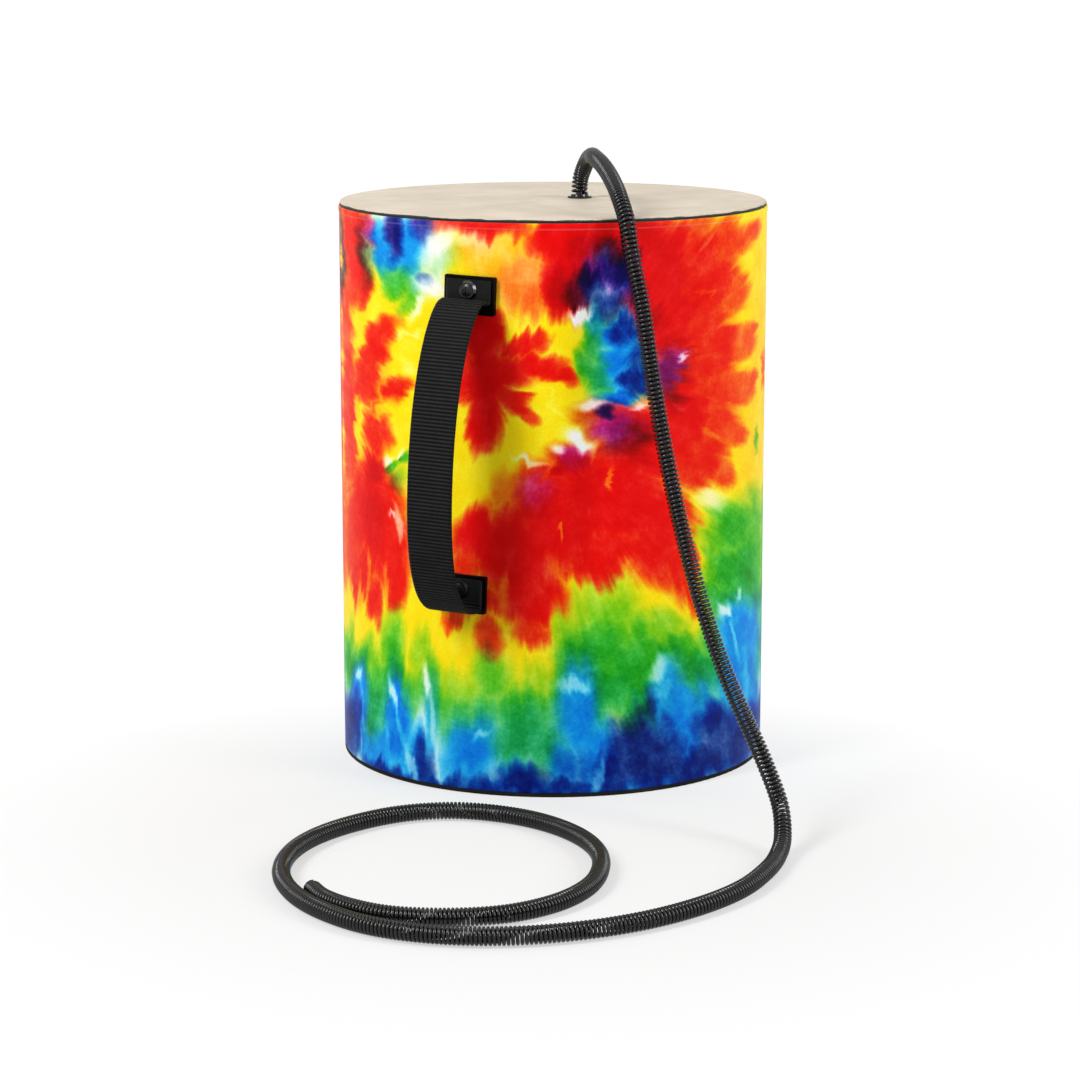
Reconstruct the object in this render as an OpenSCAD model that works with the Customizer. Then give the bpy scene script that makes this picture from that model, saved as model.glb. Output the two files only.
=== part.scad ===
// Spring drum: a fibre shell with a fixed head, a strap handle and a long coil spring on the head.
// Millimetres. Z is up, the origin is the centre of the drum's foot, and the handle faces -Y.

/* [Drum] */
// Diameter over the wrap
drum_d = 233; // [210:1:260]
// Height from the floor to the top of the head
drum_h = 305; // [290:1:340]
// Thickness of the shell's wall
shell_wall = 5; // [4:0.5:8]
// Thickness of the printed wrap
wrap_t = 0.8; // [0.6:0.1:1.5]
// Height of the hem along the wrap's upper edge
hem_h = 3; // [2:0.5:8]
// Thickness that the hem adds
hem_t = 0.3; // [0.2:0.1:0.6]
// Width of the strip that closes the wrap at the back
seam_w = 14; // [8:1:24]
// Thickness of that strip
seam_t = 0.5; // [0.3:0.1:0.8]

/* [Head] */
// Thickness of the head's film
film_t = 0.5; // [0.3:0.1:0.8]
// Outer radius of the head's rounded edge
film_edge_r = 1; // [0.8:0.1:1.1]
// Height of the film that is turned down over the hoop
film_skirt = 1.2; // [1.2:0.1:4]
// Height of the hoop's dark band that shows under the film
band_h = 1; // [0.5:0.5:4]
// Height of the hoop above the shell
hoop_h = 8; // [7:0.5:14]
// Depth of the hoop's spigot inside the shell
spigot_h = 9; // [5:1:20]
// Thickness of the hoop's spigot
spigot_t = 3; // [2:0.5:6]

/* [Foot trim] */
// Thickness of the trim under the shell
trim_t = 2.2; // [1.5:0.1:4]
// Height of the trim's lip inside the shell
trim_lip_h = 9; // [5:1:20]
// Thickness of the trim's lip
trim_lip_t = 1.5; // [1:0.1:3]
// Radius of the trim's outer lower edge
trim_edge_r = 1; // [0.5:0.1:1.4]

/* [Spring anchor] */
// Place of the anchor, to the right of the drum's axis
anchor_x = 10; // [0:1:20]
// Place of the anchor, behind the drum's axis
anchor_y = 14; // [4:1:24]
// Diameter of the anchor bolt
bolt_d = 4; // [3:0.5:4.2]
// Length of the bolt above the head
bolt_reach = 8; // [6:0.5:10]
// Width across flats of the bolt's head
bolt_head_w = 8; // [7:0.5:10]
// Height of the bolt's head
bolt_head_h = 3; // [2:0.5:5]
// Diameter of the nut's flange on the head
flange_d = 13.2; // [11:0.2:18]
// Thickness of the nut's flange
flange_t = 1.2; // [0.8:0.1:2]
// Diameter of the nut's round body
flange_boss_d = 10; // [8:0.2:10.8]
// Height of the nut's round body above its flange
flange_boss_h = 1; // [0.6:0.1:2.5]
// Diameter of the washer under the head
under_washer_d = 16; // [12:1:24]
// Thickness of the washer under the head
under_washer_t = 1; // [0.6:0.1:2]

/* [Spring] */
// Outer diameter of the spring
spring_od = 9.2; // [9:0.1:10]
// Diameter of the spring's wire
wire_d = 1.8; // [1.4:0.1:1.9]
// Turns of wire that are drawn along the whole spring
spring_turns = 90; // [60:1:98]
// Turns that sit closely on the anchor bolt
seat_turns = 3; // [2:1:4]
// Rise of each of those turns
seat_pitch = 3.2; // [2.8:0.1:3.6]

/* [Handle] */
// Distance from the hoop's lower edge down to the handle's upper screw
handle_drop = 19; // [12:0.5:40]
// Distance between the handle's two screws
screw_span = 157; // [130:1:180]
// Lean of the handle to the right, in degrees
handle_lean = 2; // [0:0.5:4]
// Width of each handle plate
plate_w = 28; // [26:1:36]
// Height of each handle plate
plate_h = 20; // [19:1:30]
// Thickness of each handle plate at its middle
plate_t = 2; // [1.5:0.1:4]
// Radius of the plates' corners
plate_corner_r = 0.8; // [0.4:0.1:3]
// Distance from each plate's middle up to its screw
plate_drop = 3; // [2:0.5:4]
// Width of the strap
strap_w = 25; // [20:1:26]
// Thickness of the strap
strap_t = 1.8; // [1.2:0.1:2.5]
// Distance from the wrap to the middle of the strap where it stands out most
strap_reach = 44.5; // [35:0.5:60]
// Distance from each screw down to the fold where the strap leaves its plate
strap_fold_drop = 7; // [6.8:0.1:8]
// Distance from each screw up to the end of the strap
strap_end_rise = 5.5; // [5.2:0.1:7]
// Distance from the handle's middle down to where the strap stands out most
strap_belly_drop = 18; // [0:1:25]
// Swing of the strap to each side, in degrees
strap_swing = 15; // [5:1:20]

/* [Handle fasteners] */
// Diameter of the handle screws
screw_d = 4; // [3:0.5:4.5]
// Diameter of the screw heads
screw_head_d = 7; // [6:0.2:8]
// Diameter of the cup washers
cup_d = 10; // [9:0.2:11]
// Height of the cup washers
cup_h = 1.8; // [1.2:0.1:2.4]
// Diameter of the washers inside the shell
inner_washer_d = 12; // [9:0.5:16]
// Thickness of the washers inside the shell
inner_washer_t = 1; // [0.6:0.1:2]
// Width across flats of the nuts
nut_w = 7; // [6.5:0.5:9]
// Height of the nuts
nut_h = 3.2; // [2.4:0.1:5]
// Length of thread past each nut
screw_tail = 1.6; // [0.5:0.1:5]

/* [Clearances] */
// Film of glue between faces that are bonded
glue_gap = 0.1; // [0.05:0.05:0.2]
// Clearance around screws and bolts in their holes
hole_gap = 0.15; // [0.1:0.05:0.3]
// Gap beside soft pieces and pieces that turn
soft_gap = 0.3; // [0.25:0.05:0.6]
// Height of the spring's coils above the floor
floor_gap = 0.4; // [0.3:0.1:0.6]

/* [Hidden] */
// Radii and heights of the drum
wrap_r = drum_d / 2;
shell_r = wrap_r - wrap_t - glue_gap;
shell_in = shell_r - shell_wall;
shell_top = drum_h - film_t - hoop_h;
hoop_top = drum_h - film_t;
film_r = shell_r + glue_gap + film_t;
wrap_top = drum_h - film_skirt - band_h;
seam_angle = seam_w / wrap_r * 180 / PI;

// Shape of the rounded edge of the hoop, under the film's own
hoop_edge_r = film_edge_r - film_t;

// Heights of the anchor's pieces
under_washer_z = hoop_top - under_washer_t;
bolt_head_z = under_washer_z - bolt_head_h;
nut_top = drum_h + flange_t + flange_boss_h;

// Height of the handle's middle
handle_z = shell_top - spigot_h - handle_drop - screw_span / 2;

// Distances out from the drum's axis to the handle's layers
plate_face = wrap_r + plate_t;
strap_face = plate_face + strap_t;
strap_root = strap_face + soft_gap;
screw_seat = strap_face + cup_h;

// A flat washer inside the curved wall rests on its two outer edges
lean_shift = screw_span / 2 * sin(handle_lean);
inner_seat = sqrt(pow(shell_in, 2) - pow(lean_shift + inner_washer_d / 2, 2)) - glue_gap;
nut_seat = inner_seat - inner_washer_t;
screw_tip = nut_seat - nut_h - screw_tail;

// Fullness of the strap's curve above and below its belly, where 2 is an ellipse
strap_full_upper = 2.05;
strap_full_lower = 2.4;
strap_step = 6;

// The spring's coil
coil_r = (spring_od - wire_d) / 2;
rings_per_turn = 8;
wire_sides = 6;
route_steps = 8;

// The spring's route: where it passes the rim, and its arch from the anchor to there
// Each point is a share of the way, a distance to the right of it and a height above the head
rim_angle = -50;
rim_out = 15.5;
arch_points = [
    [0.005, 0.4, 11], [0.022, 1.4, 15.6], [0.07, 2.2, 20.8], [0.181, 1.6, 24.6], [0.335, -0.2, 25],
    [0.5, -0.8, 22.8], [0.62, -1.1, 19.8], [0.716, -1.5, 16.8], [0.8, -1.8, 13.4], [0.86, -1.9, 10],
    [0.91, -1.5, 5.4], [0.955, -0.8, -1], [1, 0.2, -15]
];
// The spring's route: down in front of the drum to the floor
hang_points = [
    [92.2, -103.5, 262], [98.5, -104.8, 226], [105.3, -106.3, 194], [112.1, -108.8, 168],
    [120.4, -112.1, 141], [132.1, -117.8, 111], [145, -123, 83], [158.8, -129.3, 60],
    [172.8, -137.2, 39], [184, -146.5, 21], [190, -160, 9]
];
// The spring's route: the loop on the floor
floor_points = [
    [193.5, -178], [196.5, -207], [195, -237], [186, -268.5], [170, -299], [148, -324.5],
    [121, -344], [90, -354.5], [58, -354.5], [27, -342.5], [2, -323.5], [-17, -298.5],
    [-28, -269.5], [-30.5, -240], [-24, -210], [-8, -181.5], [15, -165.5], [41, -162.5],
    [66, -168.5], [91, -184], [110, -206], [122, -233], [127, -262], [122.5, -290],
    [108, -314], [84, -330], [58, -336.5], [36, -333], [19, -325], [7.5, -314.5]
];

$fn = 96;
upper = 1;
lower = -1;

// A ring between two radii and two heights
module ring(r_out, r_in, z0, z1) {
    rotate_extrude()
        translate([r_in, z0])
            square([r_out - r_in, z1 - z0]);
}

// A flat shape with one rounded corner, from the drum's axis out to r and between two heights
module capped_outline(r, z0, z1, edge_r) {
    square_top = z1 - edge_r;
    translate([0, z0])
        square([r, square_top - z0]);
    translate([0, z0])
        square([r - edge_r, z1 - z0]);
    translate([r - edge_r, square_top])
        circle(r = edge_r);
}

// A flat rectangle with rounded corners
module rounded_rectangle(w, h, r) {
    square([w - 2 * r, h], center = true);
    square([w, h - 2 * r], center = true);
    for (sx = [-1, 1])
        for (sy = [-1, 1])
            translate([sx * (w / 2 - r), sy * (h / 2 - r)])
                circle(r = r);
}

// The frame of one handle screw: its axis is Y, and its pieces stack towards -Y
module handle_frame(end) {
    translate([0, 0, handle_z])
        rotate([0, handle_lean, 0])
            translate([0, 0, end * screw_span / 2])
                children();
}

// A round bar or hole along a handle screw, between two distances from the drum's axis
module outward_bar(from, to, r1, r2) {
    rotate([90, 0, 0])
        translate([0, 0, from])
            cylinder(h = to - from, r1 = r1, r2 = r2);
}

// The holes for both handle screws
module screw_holes() {
    hole_r = screw_d / 2 + hole_gap;
    for (end = [upper, lower])
        handle_frame(end)
            outward_bar(screw_tip, strap_root, hole_r, hole_r);
}

// The hole for the anchor bolt
module anchor_hole() {
    translate([anchor_x, anchor_y, bolt_head_z])
        cylinder(h = drum_h + bolt_reach - bolt_head_z, r = bolt_d / 2 + hole_gap);
}

// Drum

module shell() {
    color("saddlebrown")
        difference() {
            ring(shell_r, shell_in, trim_t, shell_top);
            screw_holes();
        }
}

module wrap() {
    color("crimson")
        difference() {
            union() {
                ring(wrap_r, wrap_r - wrap_t, trim_t, wrap_top);
                ring(wrap_r + hem_t, wrap_r - wrap_t, wrap_top - hem_h, wrap_top);
                rotate([0, 0, 90 - seam_angle / 2])
                    rotate_extrude(angle = seam_angle)
                        translate([wrap_r - wrap_t, trim_t])
                            square([wrap_t + seam_t, wrap_top - trim_t]);
            }
            screw_holes();
        }
}

module head_hoop() {
    spigot_r = shell_in - glue_gap;
    spigot_in = spigot_r - spigot_t;
    color("black")
        rotate_extrude()
            difference() {
                union() {
                    capped_outline(shell_r, shell_top, hoop_top, hoop_edge_r);
                    translate([0, shell_top - spigot_h])
                        square([spigot_r, spigot_h]);
                }
                translate([0, shell_top - 2 * spigot_h])
                    square([spigot_in, hoop_h + 4 * spigot_h]);
            }
}

module head_film() {
    color("tan")
        difference() {
            rotate_extrude()
                difference() {
                    capped_outline(film_r, drum_h - film_skirt, drum_h, film_edge_r);
                    capped_outline(film_r - film_t, drum_h - 2 * film_skirt, hoop_top, hoop_edge_r);
                }
            anchor_hole();
        }
}

module bottom_trim() {
    lip_r = shell_in - glue_gap;
    lip_in = lip_r - trim_lip_t;
    color("black")
        rotate_extrude()
            difference() {
                union() {
                    translate([0, trim_t])
                        mirror([0, 1])
                            capped_outline(wrap_r, 0, trim_t, trim_edge_r);
                    square([lip_r, trim_t + trim_lip_h]);
                }
                translate([0, -trim_lip_h])
                    square([lip_in, 4 * trim_lip_h]);
            }
}

// Spring anchor

module anchor_bolt() {
    head_r = bolt_head_w / 2 / cos(30);
    shank_end = drum_h + bolt_reach;
    color("dimgray")
        translate([anchor_x, anchor_y, 0]) {
            translate([0, 0, bolt_head_z])
                cylinder(h = bolt_head_h, r = head_r, $fn = 6);
            translate([0, 0, under_washer_z])
                cylinder(h = shank_end - under_washer_z - bolt_d / 8, r = bolt_d / 2);
            translate([0, 0, shank_end - bolt_d / 8])
                cylinder(h = bolt_d / 8, r1 = bolt_d / 2, r2 = bolt_d * 3 / 8);
        }
}

module anchor_washer() {
    color("silver")
        difference() {
            translate([anchor_x, anchor_y, under_washer_z])
                cylinder(h = under_washer_t, r = under_washer_d / 2);
            anchor_hole();
        }
}

module anchor_nut() {
    boss_r = flange_boss_d / 2;
    color("gray")
        difference() {
            translate([anchor_x, anchor_y, drum_h]) {
                cylinder(h = flange_t, r = flange_d / 2);
                translate([0, 0, flange_t])
                    cylinder(h = flange_boss_h, r1 = boss_r, r2 = boss_r - flange_boss_h / 4);
            }
            anchor_hole();
        }
}

// Spring

function unit(v) = v / norm(v);

// A smooth curve from b to c at t from 0 to 1, with the points before and after it
function curve(a, b, c, d, t) =
    let (before = sqrt(norm(b - a)))
    let (here = sqrt(norm(c - b)))
    let (after = sqrt(norm(d - c)))
    let (leave = c - b + here * ((b - a) / before - (c - a) / (before + here)))
    let (arrive = c - b + here * ((d - c) / after - (d - b) / (here + after)))
    let (left = 2 * t * t * t - 3 * t * t + 1)
    left * b + (1 - left) * c + (t * t * t - 2 * t * t + t) * leave + (t * t * t - t * t) * arrive;

// The spring's centre line: straight up from the anchor's nut, over the rim and round the floor
spring_foot = nut_top + soft_gap;
spring_floor_z = spring_od / 2 + floor_gap;
anchor = [anchor_x, anchor_y];
over_rim = (wrap_r + rim_out) * [cos(rim_angle), sin(rim_angle)];
arch_way = over_rim - anchor;
arch_right = [-arch_way[1], arch_way[0]] / norm(arch_way);
route = concat(
    [[anchor_x, anchor_y, spring_foot], [anchor_x, anchor_y, spring_foot + 2 * wire_d]],
    [for (p = arch_points) concat(anchor + p[0] * arch_way + p[1] * arch_right, drum_h + p[2])],
    hang_points,
    [for (p = floor_points) [p[0], p[1], spring_floor_z]]
);

// A point of the route, which runs on straight past both its ends
function route_at(i, t) =
    let (last = len(route) - 1)
    let (before = i > 0 ? route[i - 1] : 2 * route[0] - route[1])
    let (after = i + 2 <= last ? route[i + 2] : 2 * route[last] - route[last - 1])
    curve(before, route[i], route[i + 1], after, t);

function spring_track() = concat(
    [for (i = [0 : len(route) - 2]) for (k = [0 : route_steps - 1]) route_at(i, k / route_steps)],
    [route[len(route) - 1]]
);

// The length of the track up to each of its points
function track_lengths(track) =
    let (last = len(track) - 1)
    [for (i = 0, s = 0; i <= last; s = s + norm(track[min(i + 1, last)] - track[i]), i = i + 1) s];

// The direction of the track at each of its points
function track_headings(track) =
    let (last = len(track) - 1)
    [for (i = [0 : last]) unit(track[min(i + 1, last)] - track[max(i - 1, 0)])];

// A side direction at each point, carried along the track without twist
function track_sides(headings) =
    let (last = len(headings) - 1)
    [for (
        i = 0, side = [1, 0, 0];
        i <= last;
        side = unit(side - (side * headings[min(i + 1, last)]) * headings[min(i + 1, last)]), i = i + 1
    ) side];

// A list of points as three tables against the track's length
function as_tables(lengths, points) =
    [for (k = [0 : 2]) [for (i = [0 : len(points) - 1]) [lengths[i], points[i][k]]]];

function look_up(tables, s) = [for (k = [0 : 2]) lookup(s, tables[k])];

// The length along the spring's centre line after a number of turns
function turn_length(turn, total) =
    let (seat_length = wire_d + seat_turns * seat_pitch)
    let (open_pitch = (total - wire_d - seat_length) / (spring_turns - seat_turns))
    turn < seat_turns ? wire_d + turn * seat_pitch : seat_length + (turn - seat_turns) * open_pitch;

// The wire's rings, each as its centre and the direction from the coil's axis out to it
function wire_rings(track) =
    let (lengths = track_lengths(track))
    let (headings = track_headings(track))
    let (places = as_tables(lengths, track))
    let (axes = as_tables(lengths, headings))
    let (sides = as_tables(lengths, track_sides(headings)))
    let (total = lengths[len(lengths) - 1])
    [for (j = [-1 : spring_turns * rings_per_turn])
        let (turn = max(j, 0) / rings_per_turn)
        let (s = j < 0 ? 0 : turn_length(turn, total))
        let (axis = unit(look_up(axes, s)))
        let (flat = look_up(sides, s))
        let (side = unit(flat - (flat * axis) * axis))
        let (out = cos(360 * turn) * side + sin(360 * turn) * cross(axis, side))
        [look_up(places, s) + coil_r * out, out]];

// The wire's far end runs on straight for one wire diameter
function with_end(rings) =
    let (last = len(rings) - 1)
    let (end_way = unit(rings[last][0] - rings[last - 1][0]))
    concat(rings, [[rings[last][0] + wire_d * end_way, rings[last][1]]]);

// The corners of one ring of the wire, square to the wire
function ring_corners(rings, i) =
    let (last = len(rings) - 1)
    let (way = unit(rings[min(i + 1, last)][0] - rings[max(i - 1, 0)][0]))
    let (out = unit(rings[i][1] - (rings[i][1] * way) * way))
    let (across = cross(way, out))
    [for (k = [0 : wire_sides - 1])
        let (angle = 360 * k / wire_sides)
        rings[i][0] + wire_d / 2 * (cos(angle) * out + sin(angle) * across)];

// The least gap between the wire and another stretch of itself
function least_gap(rings) =
    let (neighbours = rings_per_turn * 3 / 4)
    min([for (i = [0 : len(rings) - 1 - neighbours])
        min([for (j = [i + neighbours : len(rings) - 1]) norm(rings[j][0] - rings[i][0])])]) - wire_d;

module spring() {
    track = spring_track();
    rings = with_end(wire_rings(track));
    last = len(rings) - 1;
    n = wire_sides;
    points = [for (i = [0 : last]) each ring_corners(rings, i)];
    walls = [for (i = [0 : last - 1]) for (k = [0 : n - 1])
        let (a = i * n + k)
        let (b = i * n + (k + 1) % n)
        each [[a, a + n, b], [b, a + n, b + n]]];
    caps = [for (k = [1 : n - 2])
        each [[0, k, k + 1], [last * n, last * n + k + 1, last * n + k]]];
    lengths = track_lengths(track);
    echo(str("length of the spring: ", lengths[len(lengths) - 1]));
    echo(str("least gap of the spring's wire to itself: ", least_gap(rings)));
    color("black")
        polyhedron(points = points, faces = concat(walls, caps), convexity = 20);
}

// Handle

// The strap's middle line: distance out from its root, and height from the handle's middle
function strap_point(t) =
    let (reach = strap_reach - plate_t - strap_t - soft_gap)
    let (root_rise = screw_span / 2)
    let (upper_span = root_rise - strap_fold_drop + strap_belly_drop)
    let (lower_span = root_rise + strap_fold_drop - strap_belly_drop)
    let (full = t < 90 ? strap_full_upper : strap_full_lower)
    let (rise = pow(abs(cos(t)), 2 / full))
    [reach * pow(sin(t), 2 / full), -strap_belly_drop + (t < 90 ? upper_span : -lower_span) * rise];

// One face of the strap, half a thickness to one side of its middle line
function strap_face_line(side) =
    [for (t = [0 : strap_step : 180])
        let (way = unit(strap_point(min(t + 1, 180)) - strap_point(max(t - 1, 0))))
        let (square_way = t == 0 || t == 180 ? [sign(90 - t), 0] : way)
        strap_point(t) + side * strap_t / 2 * [square_way[1], -square_way[0]]];

function reversed(list) = [for (i = [len(list) - 1 : -1 : 0]) list[i]];

// The strap's free part, with both ends cut back so that it can swing to each side
module handle_strap() {
    cut_w = strap_w;
    cut_h = 2 * screw_span;
    cut_slope = tan(strap_swing + 1);
    color("black")
        translate([0, 0, handle_z])
            rotate([0, handle_lean, 0])
                translate([0, -strap_root, 0])
                    difference() {
                        rotate([90, 0, -90])
                            linear_extrude(height = strap_w, center = true)
                                polygon(concat(strap_face_line(1), reversed(strap_face_line(-1))));
                        translate([0, 0, -cut_h / 2])
                            linear_extrude(height = cut_h)
                                polygon([
                                    [0, 0], [cut_w, -cut_w * cut_slope], [cut_w, strap_t],
                                    [-cut_w, strap_t], [-cut_w, -cut_w * cut_slope]
                                ]);
                    }
}

// The end of the strap that is screwed flat against its plate
module strap_end(end) {
    fold_z = -strap_fold_drop - strap_t / 2;
    color("black")
        difference() {
            handle_frame(end)
                translate([0, -plate_face, 0])
                    rotate([90, 0, -90])
                        linear_extrude(height = strap_w, center = true) {
                            translate([0, fold_z + strap_t / 2])
                                square([strap_t, strap_end_rise - fold_z - strap_t / 2]);
                            translate([strap_t / 2, fold_z + strap_t / 2])
                                circle(r = strap_t / 2);
                        }
            screw_holes();
        }
}

module upper_strap_end() {
    strap_end(upper);
}

module lower_strap_end() {
    strap_end(lower);
}

module handle_plate(end) {
    color("black")
        difference() {
            handle_frame(end)
                rotate([90, 0, 0])
                    translate([0, -plate_drop, wrap_r / 2])
                        linear_extrude(height = plate_face - wrap_r / 2)
                            rounded_rectangle(plate_w, plate_h, plate_corner_r);
            cylinder(h = drum_h, r = wrap_r + glue_gap, $fn = 720);
            screw_holes();
        }
}

module upper_handle_plate() {
    handle_plate(upper);
}

module lower_handle_plate() {
    handle_plate(lower);
}

// A countersunk screw with a raised head, from its cup washer in to its tip behind the nut
module handle_screw(end) {
    head_r = screw_head_d / 2;
    shank_r = screw_d / 2;
    cone_h = head_r - shank_r;
    head_top = screw_seat + glue_gap;
    dome_h = head_r / 4;
    dome_base = head_r - dome_h / 4;
    dome_r = (pow(dome_base, 2) + pow(dome_h, 2)) / (2 * dome_h);
    recess_w = head_r / 4;
    recess_l = head_r * 1.1;
    recess_deep = dome_h * 1.4;
    color("dimgray")
        handle_frame(end)
            difference() {
                union() {
                    outward_bar(screw_tip, head_top, shank_r, shank_r);
                    outward_bar(head_top - cone_h, head_top, shank_r, head_r);
                    intersection() {
                        translate([0, -(head_top + dome_h - dome_r), 0])
                            sphere(r = dome_r);
                        outward_bar(head_top, head_top + 2 * dome_h, head_r, head_r);
                    }
                }
                for (turn = [0, 90])
                    rotate([0, turn, 0])
                        translate([-recess_l / 2, -(head_top + 2 * dome_h), -recess_w / 2])
                            cube([recess_l, dome_h + recess_deep, recess_w]);
            }
}

module upper_handle_screw() {
    handle_screw(upper);
}

module lower_handle_screw() {
    handle_screw(lower);
}

// A dished washer under the screw's head
module cup_washer(end) {
    head_r = screw_head_d / 2;
    cone_h = head_r - screw_d / 2;
    rim_h = cup_h / 4;
    seat_low = screw_seat - cone_h - glue_gap;
    color("dimgray")
        difference() {
            handle_frame(end) {
                outward_bar(strap_face, strap_face + rim_h, cup_d / 2, cup_d / 2);
                outward_bar(strap_face + rim_h, screw_seat, cup_d / 2, head_r + glue_gap + rim_h);
            }
            handle_frame(end)
                outward_bar(
                    seat_low - cone_h, screw_seat + cone_h,
                    screw_d / 2 + hole_gap - cone_h, head_r + hole_gap + cone_h + glue_gap
                );
            screw_holes();
        }
}

module upper_cup_washer() {
    cup_washer(upper);
}

module lower_cup_washer() {
    cup_washer(lower);
}

module inner_washer(end) {
    washer_r = inner_washer_d / 2;
    color("silver")
        difference() {
            handle_frame(end)
                outward_bar(nut_seat, inner_seat, washer_r, washer_r);
            screw_holes();
        }
}

module upper_inner_washer() {
    inner_washer(upper);
}

module lower_inner_washer() {
    inner_washer(lower);
}

module handle_nut(end) {
    nut_r = nut_w / 2 / cos(30);
    bore_r = screw_d / 2 + hole_gap / 2;
    color("silver")
        handle_frame(end)
            difference() {
                rotate([90, 0, 0])
                    translate([0, 0, nut_seat - nut_h])
                        cylinder(h = nut_h, r = nut_r, $fn = 6);
                outward_bar(screw_tip, inner_seat, bore_r, bore_r);
            }
}

module upper_handle_nut() {
    handle_nut(upper);
}

module lower_handle_nut() {
    handle_nut(lower);
}

shell();
wrap();
head_hoop();
head_film();
bottom_trim();
anchor_bolt();
anchor_washer();
anchor_nut();
spring();
handle_strap();
upper_strap_end();
lower_strap_end();
upper_handle_plate();
lower_handle_plate();
upper_handle_screw();
lower_handle_screw();
upper_cup_washer();
lower_cup_washer();
upper_inner_washer();
lower_inner_washer();
upper_handle_nut();
lower_handle_nut();
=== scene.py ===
"""Looks of a spring drum: tie-dye wrap, tan head, webbing handle and a long black coil spring."""

import math

import bpy
import numpy as np
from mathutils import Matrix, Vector


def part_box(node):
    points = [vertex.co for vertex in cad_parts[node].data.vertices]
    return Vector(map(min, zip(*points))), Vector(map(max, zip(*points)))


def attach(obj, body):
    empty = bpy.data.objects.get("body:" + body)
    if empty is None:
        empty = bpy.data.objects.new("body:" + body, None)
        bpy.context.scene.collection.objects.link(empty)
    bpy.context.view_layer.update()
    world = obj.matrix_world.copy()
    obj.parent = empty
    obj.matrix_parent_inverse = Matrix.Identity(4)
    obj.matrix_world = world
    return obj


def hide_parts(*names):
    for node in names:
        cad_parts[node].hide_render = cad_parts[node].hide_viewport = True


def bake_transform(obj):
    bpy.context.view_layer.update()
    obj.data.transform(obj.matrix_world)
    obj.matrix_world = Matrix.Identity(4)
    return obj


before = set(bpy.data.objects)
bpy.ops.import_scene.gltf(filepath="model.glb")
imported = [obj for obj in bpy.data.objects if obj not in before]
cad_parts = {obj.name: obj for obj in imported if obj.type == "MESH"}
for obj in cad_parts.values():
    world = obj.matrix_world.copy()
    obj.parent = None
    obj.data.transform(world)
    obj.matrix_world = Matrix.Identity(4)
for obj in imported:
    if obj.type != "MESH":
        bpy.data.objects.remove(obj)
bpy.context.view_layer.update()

# Sizes taken from the frame
HEAD_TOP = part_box("head_film")[1].z
WRAP_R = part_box("bottom_trim")[1].x
WRAP_LOW, WRAP_HIGH = (corner.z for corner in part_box("wrap"))
ANCHOR = (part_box("anchor_nut")[0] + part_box("anchor_nut")[1]) / 2
NUT_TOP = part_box("anchor_nut")[1].z


# Camera, at the photograph's viewing angle

CAMERA_AZIMUTH = math.radians(22.6)
CAMERA_DISTANCE = 1.7505
CAMERA_HEIGHT = 0.4595
CAMERA_PITCH = math.radians(11.11)
CAMERA_TURN = math.radians(0.232)
CAMERA_LENS = 106.9


def make_camera():
    data = bpy.data.cameras.new("camera")
    data.lens = CAMERA_LENS
    data.sensor_width = 36
    data.clip_start = 0.05
    camera = bpy.data.objects.new("camera", data)
    bpy.context.scene.collection.objects.link(camera)
    camera.location = (
        CAMERA_DISTANCE * math.sin(CAMERA_AZIMUTH),
        -CAMERA_DISTANCE * math.cos(CAMERA_AZIMUTH),
        CAMERA_HEIGHT,
    )
    camera.rotation_euler = (math.pi / 2 - CAMERA_PITCH, 0, CAMERA_AZIMUTH + CAMERA_TURN)
    bpy.context.scene.camera = camera


make_camera()


# Meshes


def grid_faces(rows, columns, rows_closed=False, columns_closed=False):
    """Quads of a grid of points that is listed row by row."""
    i, j = np.meshgrid(
        np.arange(rows if rows_closed else rows - 1),
        np.arange(columns if columns_closed else columns - 1),
        indexing="ij",
    )
    i, j = i.ravel(), j.ravel()
    down, right = (i + 1) % rows, (j + 1) % columns
    return np.stack(
        [i * columns + j, i * columns + right, down * columns + right, down * columns + j], 1
    )


def make_mesh(name, points, faces):
    """A smooth mesh object in the part's frame."""
    mesh = bpy.data.meshes.new(name)
    mesh.from_pydata(np.asarray(points).tolist(), [], [list(map(int, f)) for f in faces])
    mesh.polygons.foreach_set("use_smooth", np.ones(len(mesh.polygons), bool))
    mesh.update()
    obj = bpy.data.objects.new(name, mesh)
    bpy.context.scene.collection.objects.link(obj)
    return obj


def map_surface(obj, places):
    """Gives each corner of each face its place on the unrolled surface, in metres."""
    layer = obj.data.uv_layers.new(name="unrolled")
    layer.data.foreach_set("uv", np.asarray(places, np.float32).ravel())


def dress(obj, material):
    """Gives an object its one material."""
    obj.data.materials.clear()
    obj.data.materials.append(material)


# Spring: its centre line repeats the CAD route, in metres

RIM_ANGLE = math.radians(-50)
RIM_OUT = 0.0155
SPRING_GAP = 0.0003
WIRE_R = 0.0009
SPRING_R = 0.0046
FLOOR_GAP = 0.0004
FLOOR_Z = SPRING_R + FLOOR_GAP
# Each point of the arch is a share of the way to the rim, a distance to the right and a rise
ARCH = [
    (0.005, 0.0004, 0.0110), (0.022, 0.0014, 0.0156), (0.070, 0.0022, 0.0208),
    (0.181, 0.0016, 0.0246), (0.335, -0.0002, 0.0250), (0.500, -0.0008, 0.0228),
    (0.620, -0.0011, 0.0198), (0.716, -0.0015, 0.0168), (0.800, -0.0018, 0.0134),
    (0.860, -0.0019, 0.0100), (0.910, -0.0015, 0.0054), (0.955, -0.0008, -0.0010),
    (1.000, 0.0002, -0.0150),
]
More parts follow.
